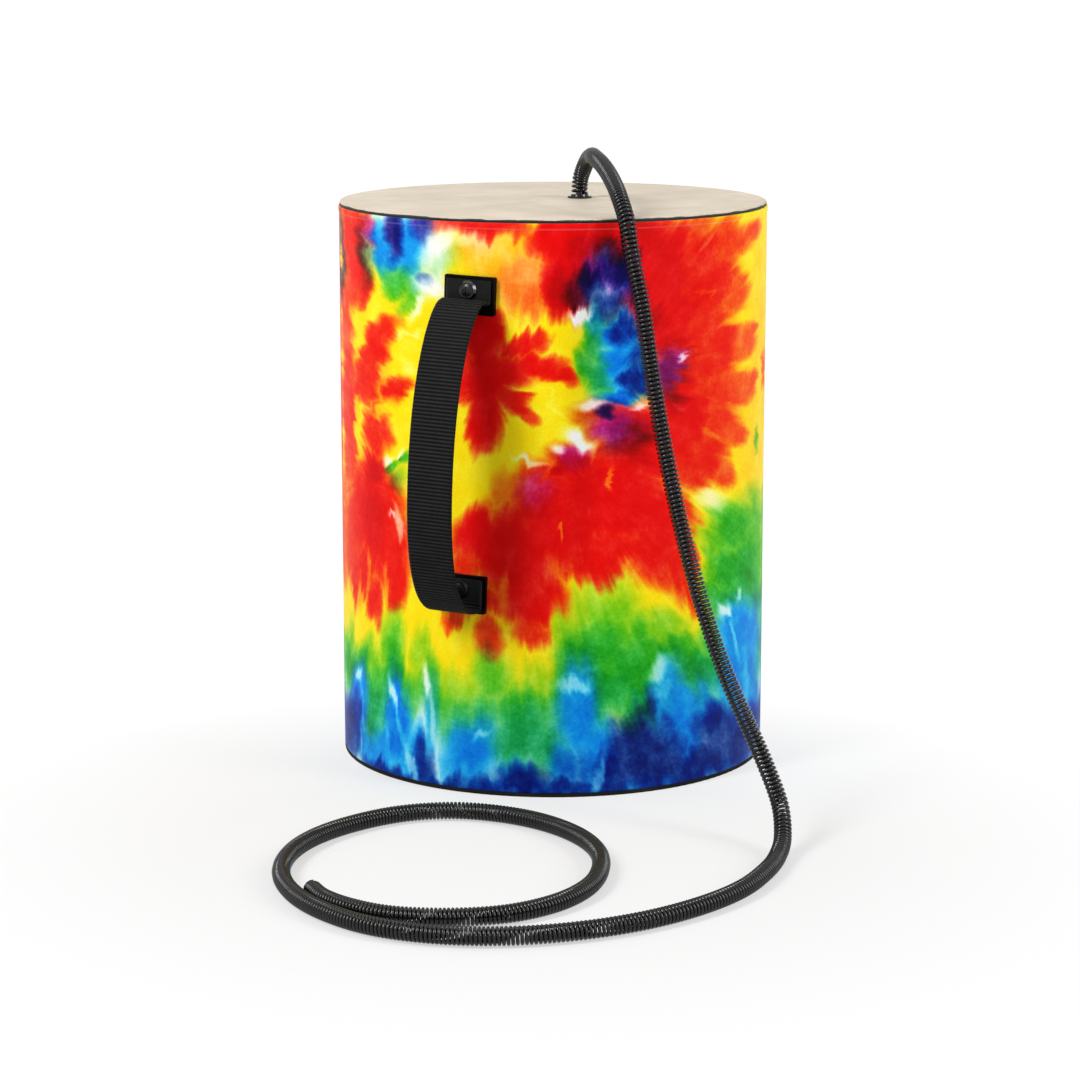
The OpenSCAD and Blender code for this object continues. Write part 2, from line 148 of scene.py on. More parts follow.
# Down in front of the drum to the floor
HANG = [
    (0.0922, -0.1035, 0.262), (0.0985, -0.1048, 0.226), (0.1053, -0.1063, 0.194),
    (0.1121, -0.1088, 0.168), (0.1204, -0.1121, 0.141), (0.1321, -0.1178, 0.111),
    (0.1450, -0.1230, 0.083), (0.1588, -0.1293, 0.060), (0.1728, -0.1372, 0.039),
    (0.1840, -0.1465, 0.021), (0.1900, -0.1600, 0.009),
]
# Round on the floor to the free end
LOOP = [
    (0.1935, -0.1780), (0.1965, -0.2070), (0.1950, -0.2370), (0.1860, -0.2685), (0.1700, -0.2990),
    (0.1480, -0.3245), (0.1210, -0.3440), (0.0900, -0.3545), (0.0580, -0.3545), (0.0270, -0.3425),
    (0.0020, -0.3235), (-0.0170, -0.2985), (-0.0280, -0.2695), (-0.0305, -0.2400), (-0.0240, -0.2100),
    (-0.0080, -0.1815), (0.0150, -0.1655), (0.0410, -0.1625), (0.0660, -0.1685), (0.0910, -0.1840),
    (0.1100, -0.2060), (0.1220, -0.2330), (0.1270, -0.2620), (0.1225, -0.2900), (0.1080, -0.3140),
    (0.0840, -0.3300), (0.0580, -0.3365), (0.0360, -0.3330), (0.0190, -0.3250), (0.0075, -0.3145),
]
TRACK_STEPS = 12


def spring_route():
    """The points that the spring's centre line passes, from its foot on the nut to its free end."""
    foot = NUT_TOP + SPRING_GAP
    anchor = np.array(ANCHOR.xy)
    over_rim = (WRAP_R + RIM_OUT) * np.array([math.cos(RIM_ANGLE), math.sin(RIM_ANGLE)])
    route = [(*anchor, foot), (*anchor, foot + 4 * WIRE_R)]
    way = over_rim - anchor
    right = np.array([-way[1], way[0]]) / np.linalg.norm(way)
    route += [(*(anchor + share * way + aside * right), HEAD_TOP + rise) for share, aside, rise in ARCH]
    route += HANG
    route += [(x, y, FLOOR_Z) for x, y in LOOP]
    return np.array(route)


def smooth_track(route):
    """A smooth curve through the route's points."""
    padded = np.vstack([2 * route[0] - route[1], route, 2 * route[-1] - route[-2]])
    t = (np.arange(TRACK_STEPS) / TRACK_STEPS)[:, None]
    left = 2 * t**3 - 3 * t**2 + 1
    track = []
    for a, b, c, d in zip(padded, padded[1:], padded[2:], padded[3:]):
        before, here, after = (math.sqrt(np.linalg.norm(x)) for x in (b - a, c - b, d - c))
        leave = c - b + here * ((b - a) / before - (c - a) / (before + here))
        arrive = c - b + here * ((d - c) / after - (d - b) / (here + after))
        track.append(left * b + (1 - left) * c + (t**3 - 2 * t**2 + t) * leave + (t**3 - t**2) * arrive)
    return np.vstack(track + [route[-1:]])


def lengths_along(track):
    return np.r_[0, np.cumsum(np.linalg.norm(np.diff(track, axis=0), axis=1))]


def unit(v):
    return v / np.linalg.norm(v, axis=-1, keepdims=True)


def carried_sides(headings):
    """A side direction at each point, carried along without twist."""
    side = np.array([1.0, 0, 0])
    sides = []
    for heading in headings:
        side = unit(side - (side @ heading) * heading)
        sides.append(side)
    return np.array(sides)


# Pitch of the coil against the length along the spring
COIL_PITCH = [
    (0, 0.0025), (0.005, 0.0022), (0.010, 0.0019), (0.05, 0.0019), (0.10, 0.0023), (0.5, 0.0024),
    (0.62, 0.0022), (0.72, 0.0020), (1.364, 0.00198),
]
PITCH_STEPS = 40000
RINGS_PER_TURN = 14
WIRE_SIDES = 8


def coil_points(track):
    """The centre of the wire along the coil, and the direction from the coil's axis out to it."""
    lengths = lengths_along(track)
    headings = unit(np.gradient(track, axis=0))
    sides = carried_sides(headings)
    fine = np.linspace(0, lengths[-1], PITCH_STEPS)
    pitch = np.interp(fine, *zip(*COIL_PITCH))
    turns = np.r_[0, np.cumsum(np.diff(fine) / pitch[1:])]
    turn = np.arange(0, turns[-1], 1 / RINGS_PER_TURN)
    s = np.interp(turn, turns, fine)
    centre, axis, side = (
        np.stack([np.interp(s, lengths, table[:, k]) for k in range(3)], 1)
        for table in (track, headings, sides)
    )
    axis = unit(axis)
    side = unit(side - np.sum(side * axis, 1, keepdims=True) * axis)
    angle = 2 * np.pi * turn[:, None]
    out = np.cos(angle) * side + np.sin(angle) * np.cross(axis, side)
    return centre + (SPRING_R - WIRE_R) * out, out


def make_spring():
    """The wire, wound round the spring's centre line."""
    track = smooth_track(spring_route())
    centre, out = coil_points(track)
    way = unit(np.gradient(centre, axis=0))
    out = unit(out - np.sum(out * way, 1, keepdims=True) * way)
    across = np.cross(way, out)
    angle = 2 * np.pi * np.arange(WIRE_SIDES) / WIRE_SIDES
    rings = centre[:, None] + WIRE_R * (
        np.cos(angle)[:, None] * out[:, None] + np.sin(angle)[:, None] * across[:, None]
    )
    rows = len(rings)
    faces = [f[::-1] for f in grid_faces(rows, WIRE_SIDES, columns_closed=True)]
    last = (rows - 1) * WIRE_SIDES
    faces.append(list(range(WIRE_SIDES))[::-1])
    faces.append([last + k for k in range(WIRE_SIDES)])
    spring = make_mesh("coil_spring", rings.reshape(-1, 3), faces)
    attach(spring, "spring")
    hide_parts("spring")
    return spring


spring = make_spring()


# Materials


class Nodes:
    """Short ways to add and link the nodes of one tree."""

    def __init__(self, tree):
        self.tree = tree
        self.tree.nodes.clear()

    def add(self, kind, **settings):
        node = self.tree.nodes.new("ShaderNode" + kind)
        for key, value in settings.items():
            setattr(node, key, value)
        return node

    def feed(self, socket, value):
        if isinstance(value, bpy.types.NodeSocket):
            self.tree.links.new(value, socket)
        else:
            socket.default_value = value

    def math(self, operation, *values, clamp=False):
        node = self.add("Math", operation=operation, use_clamp=clamp)
        for socket, value in zip(node.inputs, values):
            self.feed(socket, value)
        return node.outputs[0]

    def vector(self, operation, *values):
        node = self.add("VectorMath", operation=operation)
        for socket, value in zip(node.inputs, values):
            self.feed(socket, value)
        return node.outputs["Value" if operation in ("LENGTH", "DOT_PRODUCT", "DISTANCE") else "Vector"]

    def scaled(self, vector, factor):
        node = self.add("VectorMath", operation="SCALE")
        self.feed(node.inputs[0], vector)
        self.feed(node.inputs["Scale"], factor)
        return node.outputs["Vector"]

    def join(self, x, y, z=0.0):
        node = self.add("CombineXYZ")
        for socket, value in zip(node.inputs, (x, y, z)):
            self.feed(socket, value)
        return node.outputs[0]

    def split(self, vector):
        node = self.add("SeparateXYZ")
        self.feed(node.inputs[0], vector)
        return node.outputs

    def ramp(self, value, low, high, to_low=0.0, to_high=1.0, smooth=True):
        """A value taken from one range to another, and held at its ends."""
        kind = "SMOOTHSTEP" if smooth else "LINEAR"
        node = self.add("MapRange", interpolation_type=kind, clamp=not smooth)
        for socket, number in zip(node.inputs, (value, low, high, to_low, to_high)):
            self.feed(socket, number)
        return node.outputs[0]

    def mix(self, factor, a, b, blend="MIX"):
        node = self.add("Mix", data_type="RGBA", blend_type=blend)
        for socket, value in zip((node.inputs[0], node.inputs[6], node.inputs[7]), (factor, a, b)):
            if isinstance(value, tuple) and len(value) == 3:
                value = (*value, 1)
            self.feed(socket, value)
        return node.outputs[2]

    def noise(self, vector, scale, detail=2.0, roughness=0.5, output="Factor"):
        node = self.add("TexNoise")
        self.feed(node.inputs["Vector"], vector)
        for key, value in (("Scale", scale), ("Detail", detail), ("Roughness", roughness)):
            self.feed(node.inputs[key], value)
        return node.outputs[0 if output == "Factor" else 1]


class Graph(Nodes):
    """One material's nodes, round its shader."""

    def __init__(self, name):
        self.material = bpy.data.materials.new(name)
        self.material.use_nodes = True
        super().__init__(self.material.node_tree)
        self.shader = self.add("BsdfPrincipled")
        output = self.add("OutputMaterial")
        self.feed(output.inputs["Surface"], self.shader.outputs[0])

    def set(self, **inputs):
        """Sets or links the shader's own sockets."""
        for key, value in inputs.items():
            if isinstance(value, tuple) and len(value) == 3:
                value = (*value, 1)
            self.feed(self.shader.inputs[key.replace("_", " ")], value)

    def object_place(self):
        return self.add("TexCoord").outputs["Object"]

    def surface_place(self):
        return self.add("TexCoord").outputs["UV"]

    def bump(self, height, distance, strength=1.0):
        node = self.add("Bump")
        self.feed(node.inputs["Strength"], strength)
        self.feed(node.inputs["Distance"], distance)
        self.feed(node.inputs["Height"], height)
        self.feed(self.shader.inputs["Normal"], node.outputs[0])


def worn_metal(name, colour, roughness, metallic=1.0, specular=0.5):
    """Plated or blackened metal, with faint stains and fine scratches."""
    g = Graph(name)
    place = g.object_place()
    stain = g.noise(place, 180, detail=4)
    scratch = g.noise(g.vector("MULTIPLY", place, (6.0, 6.0, 60.0)), 160, detail=3)
    dark = tuple(0.6 * c for c in colour)
    g.set(Base_Color=g.mix(g.ramp(stain, 0.3, 0.7), dark, colour), Metallic=metallic)
    g.set(Roughness=g.ramp(scratch, 0.3, 0.7, 0.8 * roughness, 1.2 * roughness))
    g.set(Specular_IOR_Level=specular)
    g.bump(scratch, 0.00003, 0.4)
    return g.material


def spring_steel():
    """Black glossy wire with fine drawing lines and rubbed patches."""
    g = Graph("spring_steel")
    place = g.object_place()
    patch = g.noise(place, 60, detail=4)
    fine = g.noise(place, 900, detail=3)
    g.set(Base_Color=g.mix(g.ramp(patch, 0.35, 0.75), (0.0025, 0.0025, 0.0027), (0.005, 0.005, 0.0054)))
    g.set(Roughness=g.ramp(fine, 0.3, 0.7, 0.08, 0.14))
    g.set(IOR=1.42)
    g.bump(fine, 0.00002, 0.3)
    return g.material


def moulded_plastic(name, colour, roughness, grain=500.0):
    """Dark moulded plastic or rubber with a fine grain and faint dust."""
    g = Graph(name)
    place = g.object_place()
    grain_noise = g.noise(place, grain, detail=3)
    dust = g.noise(place, 45, detail=5)
    pale = tuple(c * 1.8 + 0.001 for c in colour)
    g.set(Base_Color=g.mix(g.ramp(dust, 0.45, 0.8), colour, pale))
    g.set(Roughness=g.ramp(grain_noise, 0.3, 0.7, roughness * 0.85, roughness * 1.15))
    g.set(Specular_IOR_Level=0.035)
    g.bump(grain_noise, 0.00006, 0.5)
    return g.material


def fibre_board():
    """The raw inside of the shell: wound paper fibre."""
    g = Graph("fibre_board")
    place = g.object_place()
    winding = g.noise(g.vector("MULTIPLY", place, (1.0, 1.0, 9.0)), 30, detail=5)
    fibre = g.noise(g.vector("MULTIPLY", place, (1.0, 1.0, 3.0)), 420, detail=4)
    base = g.mix(g.ramp(winding, 0.3, 0.7), (0.16, 0.10, 0.055), (0.27, 0.18, 0.105))
    g.set(Base_Color=g.mix(g.ramp(fibre, 0.35, 0.75, 0, 0.35), base, (0.40, 0.29, 0.18)))
    g.set(Roughness=g.ramp(fibre, 0.3, 0.7, 0.75, 0.92))
    g.bump(fibre, 0.00015, 0.7)
    return g.material


def head_fibre():
    """The tan head: a film with fine fibres, cloudy patches and a dark edge where it turns down."""
    g = Graph("head_fibre")
    place = g.object_place()
    x, y, z = g.split(place)
    flat = g.join(x, y)
    cloud = g.noise(flat, 22, detail=5, roughness=0.6)
    streak = g.noise(g.vector("MULTIPLY", flat, (1.0, 5.0, 1.0)), 60, detail=5)
    fibre = g.noise(g.vector("MULTIPLY", flat, (1.0, 2.5, 1.0)), 700, detail=3)
    base = g.mix(g.ramp(cloud, 0.3, 0.72), (0.55, 0.475, 0.372), (0.68, 0.596, 0.482))
    base = g.mix(g.ramp(streak, 0.48, 0.72, 0, 0.5), base, (0.47, 0.395, 0.29))
    base = g.mix(g.ramp(fibre, 0.3, 0.75, 0, 0.22), base, (0.56, 0.46, 0.34))
    edge = g.noise(g.vector("NORMALIZE", flat), 6.0, detail=4, roughness=0.65)
    drop = g.ramp(edge, 0.35, 0.65, HEAD_TOP - 0.0004, HEAD_TOP - 0.0008)
    dark = g.ramp(g.math("SUBTRACT", drop, z), -0.00015, 0.00015)
    base = g.mix(dark, base, (0.022, 0.03, 0.027))
    g.set(Base_Color=base, Roughness=g.ramp(fibre, 0.3, 0.7, 0.5, 0.66), Specular_IOR_Level=0.25)
    g.bump(g.math("ADD", fibre, g.math("MULTIPLY", streak, 0.5)), 0.00012, 0.6)
    return g.material


def hoop_edge():
    """The hoop's dark edge, with glue and fibre showing in places."""
    g = Graph("hoop_edge")
    place = g.object_place()
    x, y, z = g.split(place)
    round_place = g.vector("NORMALIZE", g.join(x, y))
    blotch = g.noise(round_place, 5.5, detail=4, roughness=0.6)
    fine = g.noise(place, 350, detail=3)
    base = g.mix(g.ramp(blotch, 0.60, 0.68), (0.018, 0.026, 0.024), (0.16, 0.115, 0.07))
    base = g.mix(g.ramp(fine, 0.4, 0.8, 0, 0.5), base, (0.06, 0.075, 0.07))
    g.set(Base_Color=base, Roughness=g.ramp(fine, 0.3, 0.7, 0.4, 0.6))
    g.bump(fine, 0.0001, 0.5)
    return g.material


# Tie-dye wrap
# Places on the unrolled wrap are in millimetres: across from the middle of the photographed side,
# and up from the floor. Each dye lies in spots: place, half size, tilt in degrees and strength.

DYE_COLOURS = {
    "yellow": (1.0, 0.77, 0.003),
    "red": (0.80, 0.002, 0.010),
    "magenta": (0.50, 0.006, 0.22),
    "navy": (0.004, 0.024, 0.21),
    "cyan": (0.002, 0.26, 0.80),
    "green": (0.006, 0.34, 0.08),
}
CLOTH_WHITE = (0.95, 0.945, 0.93)

RED_SPOTS = [
    (-134, 280, 13, 26, 0, 0.8), (-148, 262, 12, 44, 0, 0.5), (-146, 200, 14, 44, 0, 0.6),
    (-126, 292, 8, 12, 0, 0.8), (-122, 262, 8, 10, 0, 0.6), (-108, 232, 22, 9, 38, 0.75),
    (-122, 214, 22, 9, 20, 0.7), (-92, 212, 11, 6, 15, 0.75), (-111, 190, 10, 15, 0, 0.75),
    (-140, 180, 9, 30, 0, 0.5), (-114, 142, 26, 28, 0, 0.95), (-98, 126, 16, 22, 0, 0.85),
    (-136, 128, 16, 30, 0, 0.6), (-112, 166, 14, 10, 0, 0.9), (-137, 102, 5, 14, 0, 0.75),
    (-112, 96, 6, 15, 0, 0.75), (-92, 106, 7, 13, 0, 0.75), (-125, 110, 10, 10, 0, 0.85),
    # The flower's red at (-37, 246) and (-36, 222) is made deeper than the dye alone: painted shade of
    # the upper plate and strap above it.
    (-155, 130, 8, 30, 0, 0.35), (-37, 246, 12, 12, 0, 1.35), (-36, 222, 12, 20, 0, 1.2),
    (-26, 228, 18, 8, 0, 1.0), (-8, 230, 13, 6, -12, 0.9), (3, 224, 8, 4.5, -25, 0.8),
    (-16, 241, 13, 5, 12, 0.9), (-35, 203, 9, 17, 0, 1.15), (-35, 188, 4, 6, 0, 0.7),
    (-20, 212, 11, 6, -40, 0.85), (-13, 205, 7, 4, -40, 0.6), (-48, 224, 7, 15, 0, 0.8),
    (-16, 272, 13, 16, 0, 0.22), (-10, 262, 6, 10, 0, 0.3),
    (-38, 302, 24, 8, 0, 0.9), (-28, 286, 24, 12, 0, 0.1),
    (-20, 300, 9, 4, 0, 0.45), (4, 292, 16, 12, 0, 1.2), (6, 272, 12, 16, 0, 1.2),
    (32, 298, 32, 10, 0, 1.1), (60, 280, 18, 26, 0, 1.15), (84, 272, 26, 30, 0, 0.8),
    (66, 250, 18, 20, 0, 1.05), (86, 238, 26, 28, 0, 0.72), (72, 200, 18, 26, 0, 1.0),
    (94, 202, 24, 24, 0, 0.6), (84, 176, 22, 14, 0, 0.7), (106, 291, 24, 11, 0, 0.5),
    (112, 263, 18, 11, 0, 0.42), (118, 234, 20, 9, 0, 0.4), (114, 210, 22, 10, 0, 0.42),
    (134, 292, 12, 6, 10, 0.4), (131, 238, 9, 5, 10, 0.35), (131, 213, 10, 5, 0, 0.4),
    (114, 187, 15, 7, -12, 0.45), (102, 167, 14, 7, -22, 0.45), (156, 215, 5, 10, 0, 0.4),
    (30, 160, 32, 24, 0, 1.1), (52, 186, 16, 20, 0, 1.1), (4, 150, 24, 24, 0, 1.1),
    (-20, 132, 22, 22, 0, 1.1), (-38, 137, 14, 14, 0, 1.2), (-46, 122, 8, 14, 0, 0.6),
    (58, 142, 20, 24, 0, 1.0), (24, 132, 24, 12, 0, 0.95), (-12, 110, 16, 14, 0, 1.0),
    (-40, 105, 14, 7, 0, 0.7), (-34, 85, 7, 11, 0, 0.5), (-52, 95, 10, 5, 40, 0.5),
    (-12, 92, 9, 9, 0, 0.6), (72, 126, 10, 18, 0, 0.9), (80, 110, 6, 14, 10, 0.7),
    (-22, 160, 10, 12, 0, 0.25), (138, 220, 30, 75, 0, 0.03), (-9, 168, 9, 11, 0, 0.55),
    (12, 175, 13, 9, 0, 1.05),
]
MAGENTA_SPOTS = [
    (-108, 167, 12, 6, 30, 0.45), (-113, 296, 7, 7, 0, 0.7), (-71, 299, 7, 8, 0, 0.4),
    (-90, 294, 6, 10, 0, 0.5), (-112, 140, 10, 16, 0, 0.25), (8, 182, 10, 7, 0, 0.9),
    (-9, 163, 9, 10, -30, 0.55), (32, 199, 15, 9, -15, 1.0), (42, 191, 14, 11, 0, 0.8),
    (64, 226, 9, 14, 0, 0.9), (66, 212, 6, 8, 0, 0.6), (44, 262, 8, 8, 0, 0.9),
    (16, 290, 8, 6, 0, 0.6), (6, 268, 9, 12, 0, 0.7), (20, 280, 9, 8, 0, 0.7),
    (36, 282, 9, 12, 0, 0.6), (52, 252, 7, 8, 0, 0.6), (-120, 274, 8, 16, 0, 0.2),
]
NAVY_SPOTS = [
    (20, 272, 7, 9, 0, 0.9), (14, 266, 8, 8, 0, 0.4), (30, 284, 8, 10, 0, 0.7),
    (38, 278, 7, 14, 0, 1.0), (28, 262, 9, 8, 0, 0.8), (36, 247, 8, 7, 0, 0.8),
    (46, 230, 6, 9, 0, 0.7), (47, 220, 9, 7, 0, 1.0), (40, 222, 6, 4, 0, 0.9),
    (62, 222, 8, 11, 0, 0.2), (29, 204, 4, 3, 0, 0.8), (40, 192, 12, 8, 0, 0.18),
    (-90, 296, 6, 14, 0, 0.8), (-69, 271, 4, 3, 0, 0.7), (-70, 298, 4, 9, 0, 0.3),
    (-119, 282, 6, 10, 0, 0.2), (-110, 285, 4, 9, 0, 0.2), (-155, 288, 5, 16, 0, 0.3),
    (-150, 18, 18, 17, 0, 1.0), (-158, 8, 20, 12, 0, 1.0), (-74, 12, 7, 11, 0, 0.9),
    (-62, 3, 16, 6, 0, 0.9), (-15, 8, 14, 8, 0, 1.0), (5, 4, 16, 6, 0, 1.0),
    (-40, 3, 18, 5, 0, 0.8), (45, 24, 16, 18, 0, 1.2), (32, 14, 10, 14, 0, 1.1),
    (58, 16, 16, 16, 0, 1.2), (60, 30, 8, 10, 0, 0.7), (90, 8, 30, 10, 0, 1.1),
    (104, 26, 18, 14, 0, 1.0), (126, 14, 24, 15, 0, 1.1), (150, 20, 16, 14, 0, 0.8),
    (-100, 2, 26, 5, 0, 0.8), (14, 14, 12, 12, 0, 0.3), (52, 46, 5, 10, 0, 0.5),
]
CYAN_SPOTS = [
    (-101, 286, 6, 13, 0, 1.0), (-80, 286, 8, 16, 0, 0.9),
    (-76, 268, 8, 6, 0, 0.3), (-71, 290, 6, 12, 0, 0.3),
    (-60, 280, 10, 8, 30, 0.1), (-92, 278, 8, 5, 0, 0.9), (21, 252, 5, 7, 0, 0.9),
    (31, 246, 9, 8, 0, 1.1), (33, 232, 9, 7, 0, 1.2), (37, 240, 8, 14, 0, 1.1),
    (34, 213, 9, 4, 0, 1.2), (40, 222, 12, 7, 0, 0.8), (13, 54, 11, 28, 0, 1.2),
    (22, 26, 10, 20, 0, 1.1), (64, 55, 15, 20, 0, 1.0), (76, 40, 14, 16, 0, 1.2),
    (88, 44, 10, 14, 0, 1.0), (96, 36, 12, 10, 0, 0.9), (80, 22, 8, 12, 0, 1.0),
    (122, 72, 20, 24, 0, 1.1), (146, 62, 16, 36, 0, 1.0), (112, 56, 14, 18, 0, 1.1),
    (135, 40, 20, 16, 0, 1.1), (-93, 34, 10, 26, 0, 1.4), (-80, 14, 8, 16, 0, 0.9),
    (-134, 34, 11, 26, 0, 1.4), (-110, 12, 14, 12, 0, 1.0), (-69, 42, 5, 24, 0, 0.6),
    (-46, 20, 14, 16, 0, 1.2), (-37, 32, 6, 10, 0, 0.8), (-20, 14, 10, 6, 0, 0.6),
    (6, 20, 8, 12, 0, 1.0), (-125, 12, 8, 10, 0, 0.9), (0, 3, 110, 6, 0, 0.7),
]
GREEN_SPOTS = [
    (-92, 267, 10, 6, 0, 0.7), (-80, 259, 10, 5, 25, 0.4), (-156, 264, 5, 10, 0, 0.4),
    (-91, 173, 6, 5, 0, 0.6), (-88, 162, 6, 5, 0, 0.3), (-119, 279, 7, 12, 0, 0.25),
    (20, 242, 5, 8, 0, 0.9), (24, 226, 6, 10, 0, 1.2), (17, 231, 5, 9, 0, 0.8),
    (28, 98, 16, 16, 0, 0.4), (26, 84, 14, 18, 0, 0.85), (12, 80, 10, 18, 0, 0.5),
    (40, 76, 16, 18, 0, 0.9), (30, 62, 18, 14, 0, 1.1), (46, 52, 10, 14, 0, 1.1),
    (62, 88, 12, 9, 0, 0.35), (72, 74, 16, 10, 0, 0.55), (88, 62, 14, 12, 0, 1.1),
    (92, 78, 10, 10, 0, 0.6), (-32, 62, 10, 14, 0, 0.5), (-15, 40, 14, 18, 0, 1.0),
    (-20, 28, 12, 10, 0, 1.1), (-36, 42, 10, 12, 0, 0.7), (-4, 28, 10, 12, 0, 1.1),
    (-97, 66, 9, 20, 0, 0.6), (-106, 50, 12, 14, 0, 0.7), (-113, 38, 12, 12, 0, 1.0),
    (-118, 26, 9, 9, 0, 1.0), (-60, 44, 10, 12, 0, 0.5), (-80, 50, 8, 12, 0, 0.5),
    (-50, 40, 10, 12, 0, 0.7), (-150, 54, 14, 12, 0, 0.8), (-142, 62, 8, 14, 0, 0.4),
    (-76, 72, 5, 12, 0, 0.25), (-32, 70, 9, 9, 0, 0.25), (-5, 60, 12, 12, 0, 0.25),
    (116, 134, 22, 13, 0, 0.75), (140, 130, 18, 18, 0, 0.6), (128, 112, 24, 16, 0, 0.95),
    (110, 112, 14, 14, 0, 0.85), (98, 118, 8, 14, 0, 0.45), (150, 110, 14, 20, 0, 0.6),
    (100, 98, 10, 10, 0, 0.75), (116, 98, 14, 8, 0, 0.8), (146, 95, 14, 10, 0, 0.6),
    (144, 179, 3, 6, 0, 0.4), (0, 52, 90, 12, 0, 0.3), (-125, 58, 20, 12, 0, 0.3),
]
WHITE_SPOTS = [
    (-62, 288, 12, 6, 35, 0.85), (-48, 290, 14, 4, 15, 0.5), (-30, 288, 20, 9, 10, 0.3),
    (-66, 268, 8, 6, 0, 0.85), (-74, 256, 10, 2.5, 45, 0.8), (-80, 242, 9, 2, 25, 0.6),
    (-82, 224, 6, 4, -10, 0.5), (-97, 177, 7, 3, 30, 0.9), (-90, 140, 2.5, 10, 25, 0.8),
    (-96, 146, 4, 2, 0, 0.8), (14, 256, 7, 3.5, 25, 1.0), (22, 208, 7, 3, 0, 0.9),
    (46, 207, 5, 2, 10, 0.8), (14, 191, 10, 4.5, -40, 1.0), (3, 187, 4, 3, 0, 0.9),
    (-14, 179, 8, 2, -15, 0.8), (68, 230, 2.2, 2.2, 0, 0.9), (68, 206, 4, 1.5, -20, 0.4),
    (94, 154, 12, 5, -25, 0.6), (110, 88, 7, 5, 0, 0.9), (121, 98, 2.5, 5, 0, 0.7),
    (58, 67, 8, 6, 0, 0.75), (60, 56, 8, 5, 0, 0.35), (11, 66, 8, 4, 0, 0.75),
    (-72, 54, 2.5, 9, 5, 0.9), (-68, 40, 2, 14, 8, 0.6), (-134, 48, 4, 6, 0, 0.9),
    (-130, 32, 2, 14, 10, 0.5), (-97, 45, 3.5, 8, 30, 0.9), (-90, 30, 1.5, 12, 15, 0.5),
    (-82, 10, 2.5, 14, 15, 0.7), (-38, 30, 5, 2, 30, 0.6), (24, 14, 2, 14, -10, 0.6),
    (119, 72, 2, 13, 20, 0.6), (132, 45, 4, 10, 10, 0.4), (-131, 12, 1.5, 10, 0, 0.5),
    (-48, 8, 4, 7, 0, 0.35), (0, 212, 1, 16, 42, 0.3), (88, 290, 8, 1.5, 35, 0.4),
]
RED_BREAKS = [
    (-112, 250, 16, 5, 35, 0.95), (-131, 190, 4, 16, 5, 0.85), (-103, 203, 14, 4, 15, 0.85),
    (-97, 222, 10, 3, 35, 0.7), (-128, 234, 8, 2.5, 10, 0.6), (30, 170, 2.5, 6, 10, 0.7),
    (4, 142, 1.5, 4, 10, 0.7), (122, 222, 14, 3, -8, 0.6), (120, 248, 18, 3.5, 5, 0.8),
    (124, 276, 16, 4.5, 10, 0.8), (-118, 112, 2.5, 12, 0, 0.6), (-101, 108, 2.5, 9, 0, 0.6),
    (85, 262, 7, 1.5, -25, 0.4), (30, 201, 13, 7, -15, 0.8), (8, 183, 7, 5, 0, 0.6),
    (64, 226, 8, 13, 0, 0.8), (92, 150, 8, 3, -20, 0.6), (-25, 112, 3, 7, 0, 0.5),
    (90, 190, 12, 1.5, -35, 0.4), (118, 198, 18, 3, -12, 0.6), (-22, 250, 4, 7, 30, 0.6),
    (-9, 163, 8, 9, -30, 0.45),
]
YELLOW_GAPS = [
    (-88, 292, 32, 22, 0, 1.0), (-68, 278, 16, 18, 0, 0.85), (36, 232, 17, 32, 0, 1.0),
    (28, 274, 22, 20, 0, 1.0), (125, 68, 36, 32, 0, 1.0), (62, 50, 16, 18, 0, 0.9),
    (13, 52, 13, 24, 0, 0.8), (-156, 280, 8, 24, 0, 0.6), (62, 226, 10, 14, 0, 0.9),
    (36, 196, 16, 10, 0, 0.9), (10, 182, 9, 7, 0, 0.9), (-18, 270, 11, 18, 0, 0.4),
    (-44, 291, 12, 6, 0, 0.5), (-150, 200, 14, 80, 0, 0.3), (98, 150, 14, 8, -20, 0.5),
    (-9, 164, 10, 10, -30, 0.9),
]
# The cloth is yellow above this height, and the yellow fades out over a width round it
YELLOW_LOW = 52
YELLOW_FADE = (-20, 16)
# How soft the edges of each dye's spots are, as a share of their size
SOFTNESS = {
    "red": 0.5, "green": 0.75, "cyan": 0.6, "navy": 0.6, "magenta": 0.7, "white": 0.6, "gaps": 0.5
}

# The dyes spread outwards from these bound points of the cloth
BURSTS = [(-38, 218), (-116, 158), (46, 238), (20, 165), (-92, 335)]
FOLD_AT = 160
# The layout's share of the cloth's length at the back, so that its ends meet there
BACK_SHARE = FOLD_AT / (1000 * math.pi * WRAP_R - FOLD_AT)
# The square of the distance within which a bound point keeps the dyes still
CALM = 120.0
# Keeps the spreading finite at a bound point
BURST_SOFT = 30.0
# Feathers of the dyes' edges, coarse to fine: scale, detail and reach in millimetres
FEATHERS = [(1.0, 1.0, 8.0), (2.6, 1.0, 14.0), (7.0, 2.0, 8.0)]
# How fast the feathers change outwards from the bound points, and along the cloth
FEATHER_DEPTH = 0.05
FEATHER_DRIFT = 0.0004
# How far the dyes' edges wander and fray, in millimetres
WANDER = 7.0
FRAY = 2.5
# A painted highlight: the cloth is whitened along the hem's lower edge, where it catches the light
HEM_H = 0.003
HEM_FOOT = 1000 * (WRAP_HIGH - HEM_H)
HEM_HIGHLIGHT = (0.6, 0.2)
# Pitch of the cloth's weave, in millimetres
WEAVE_PITCH = 0.9


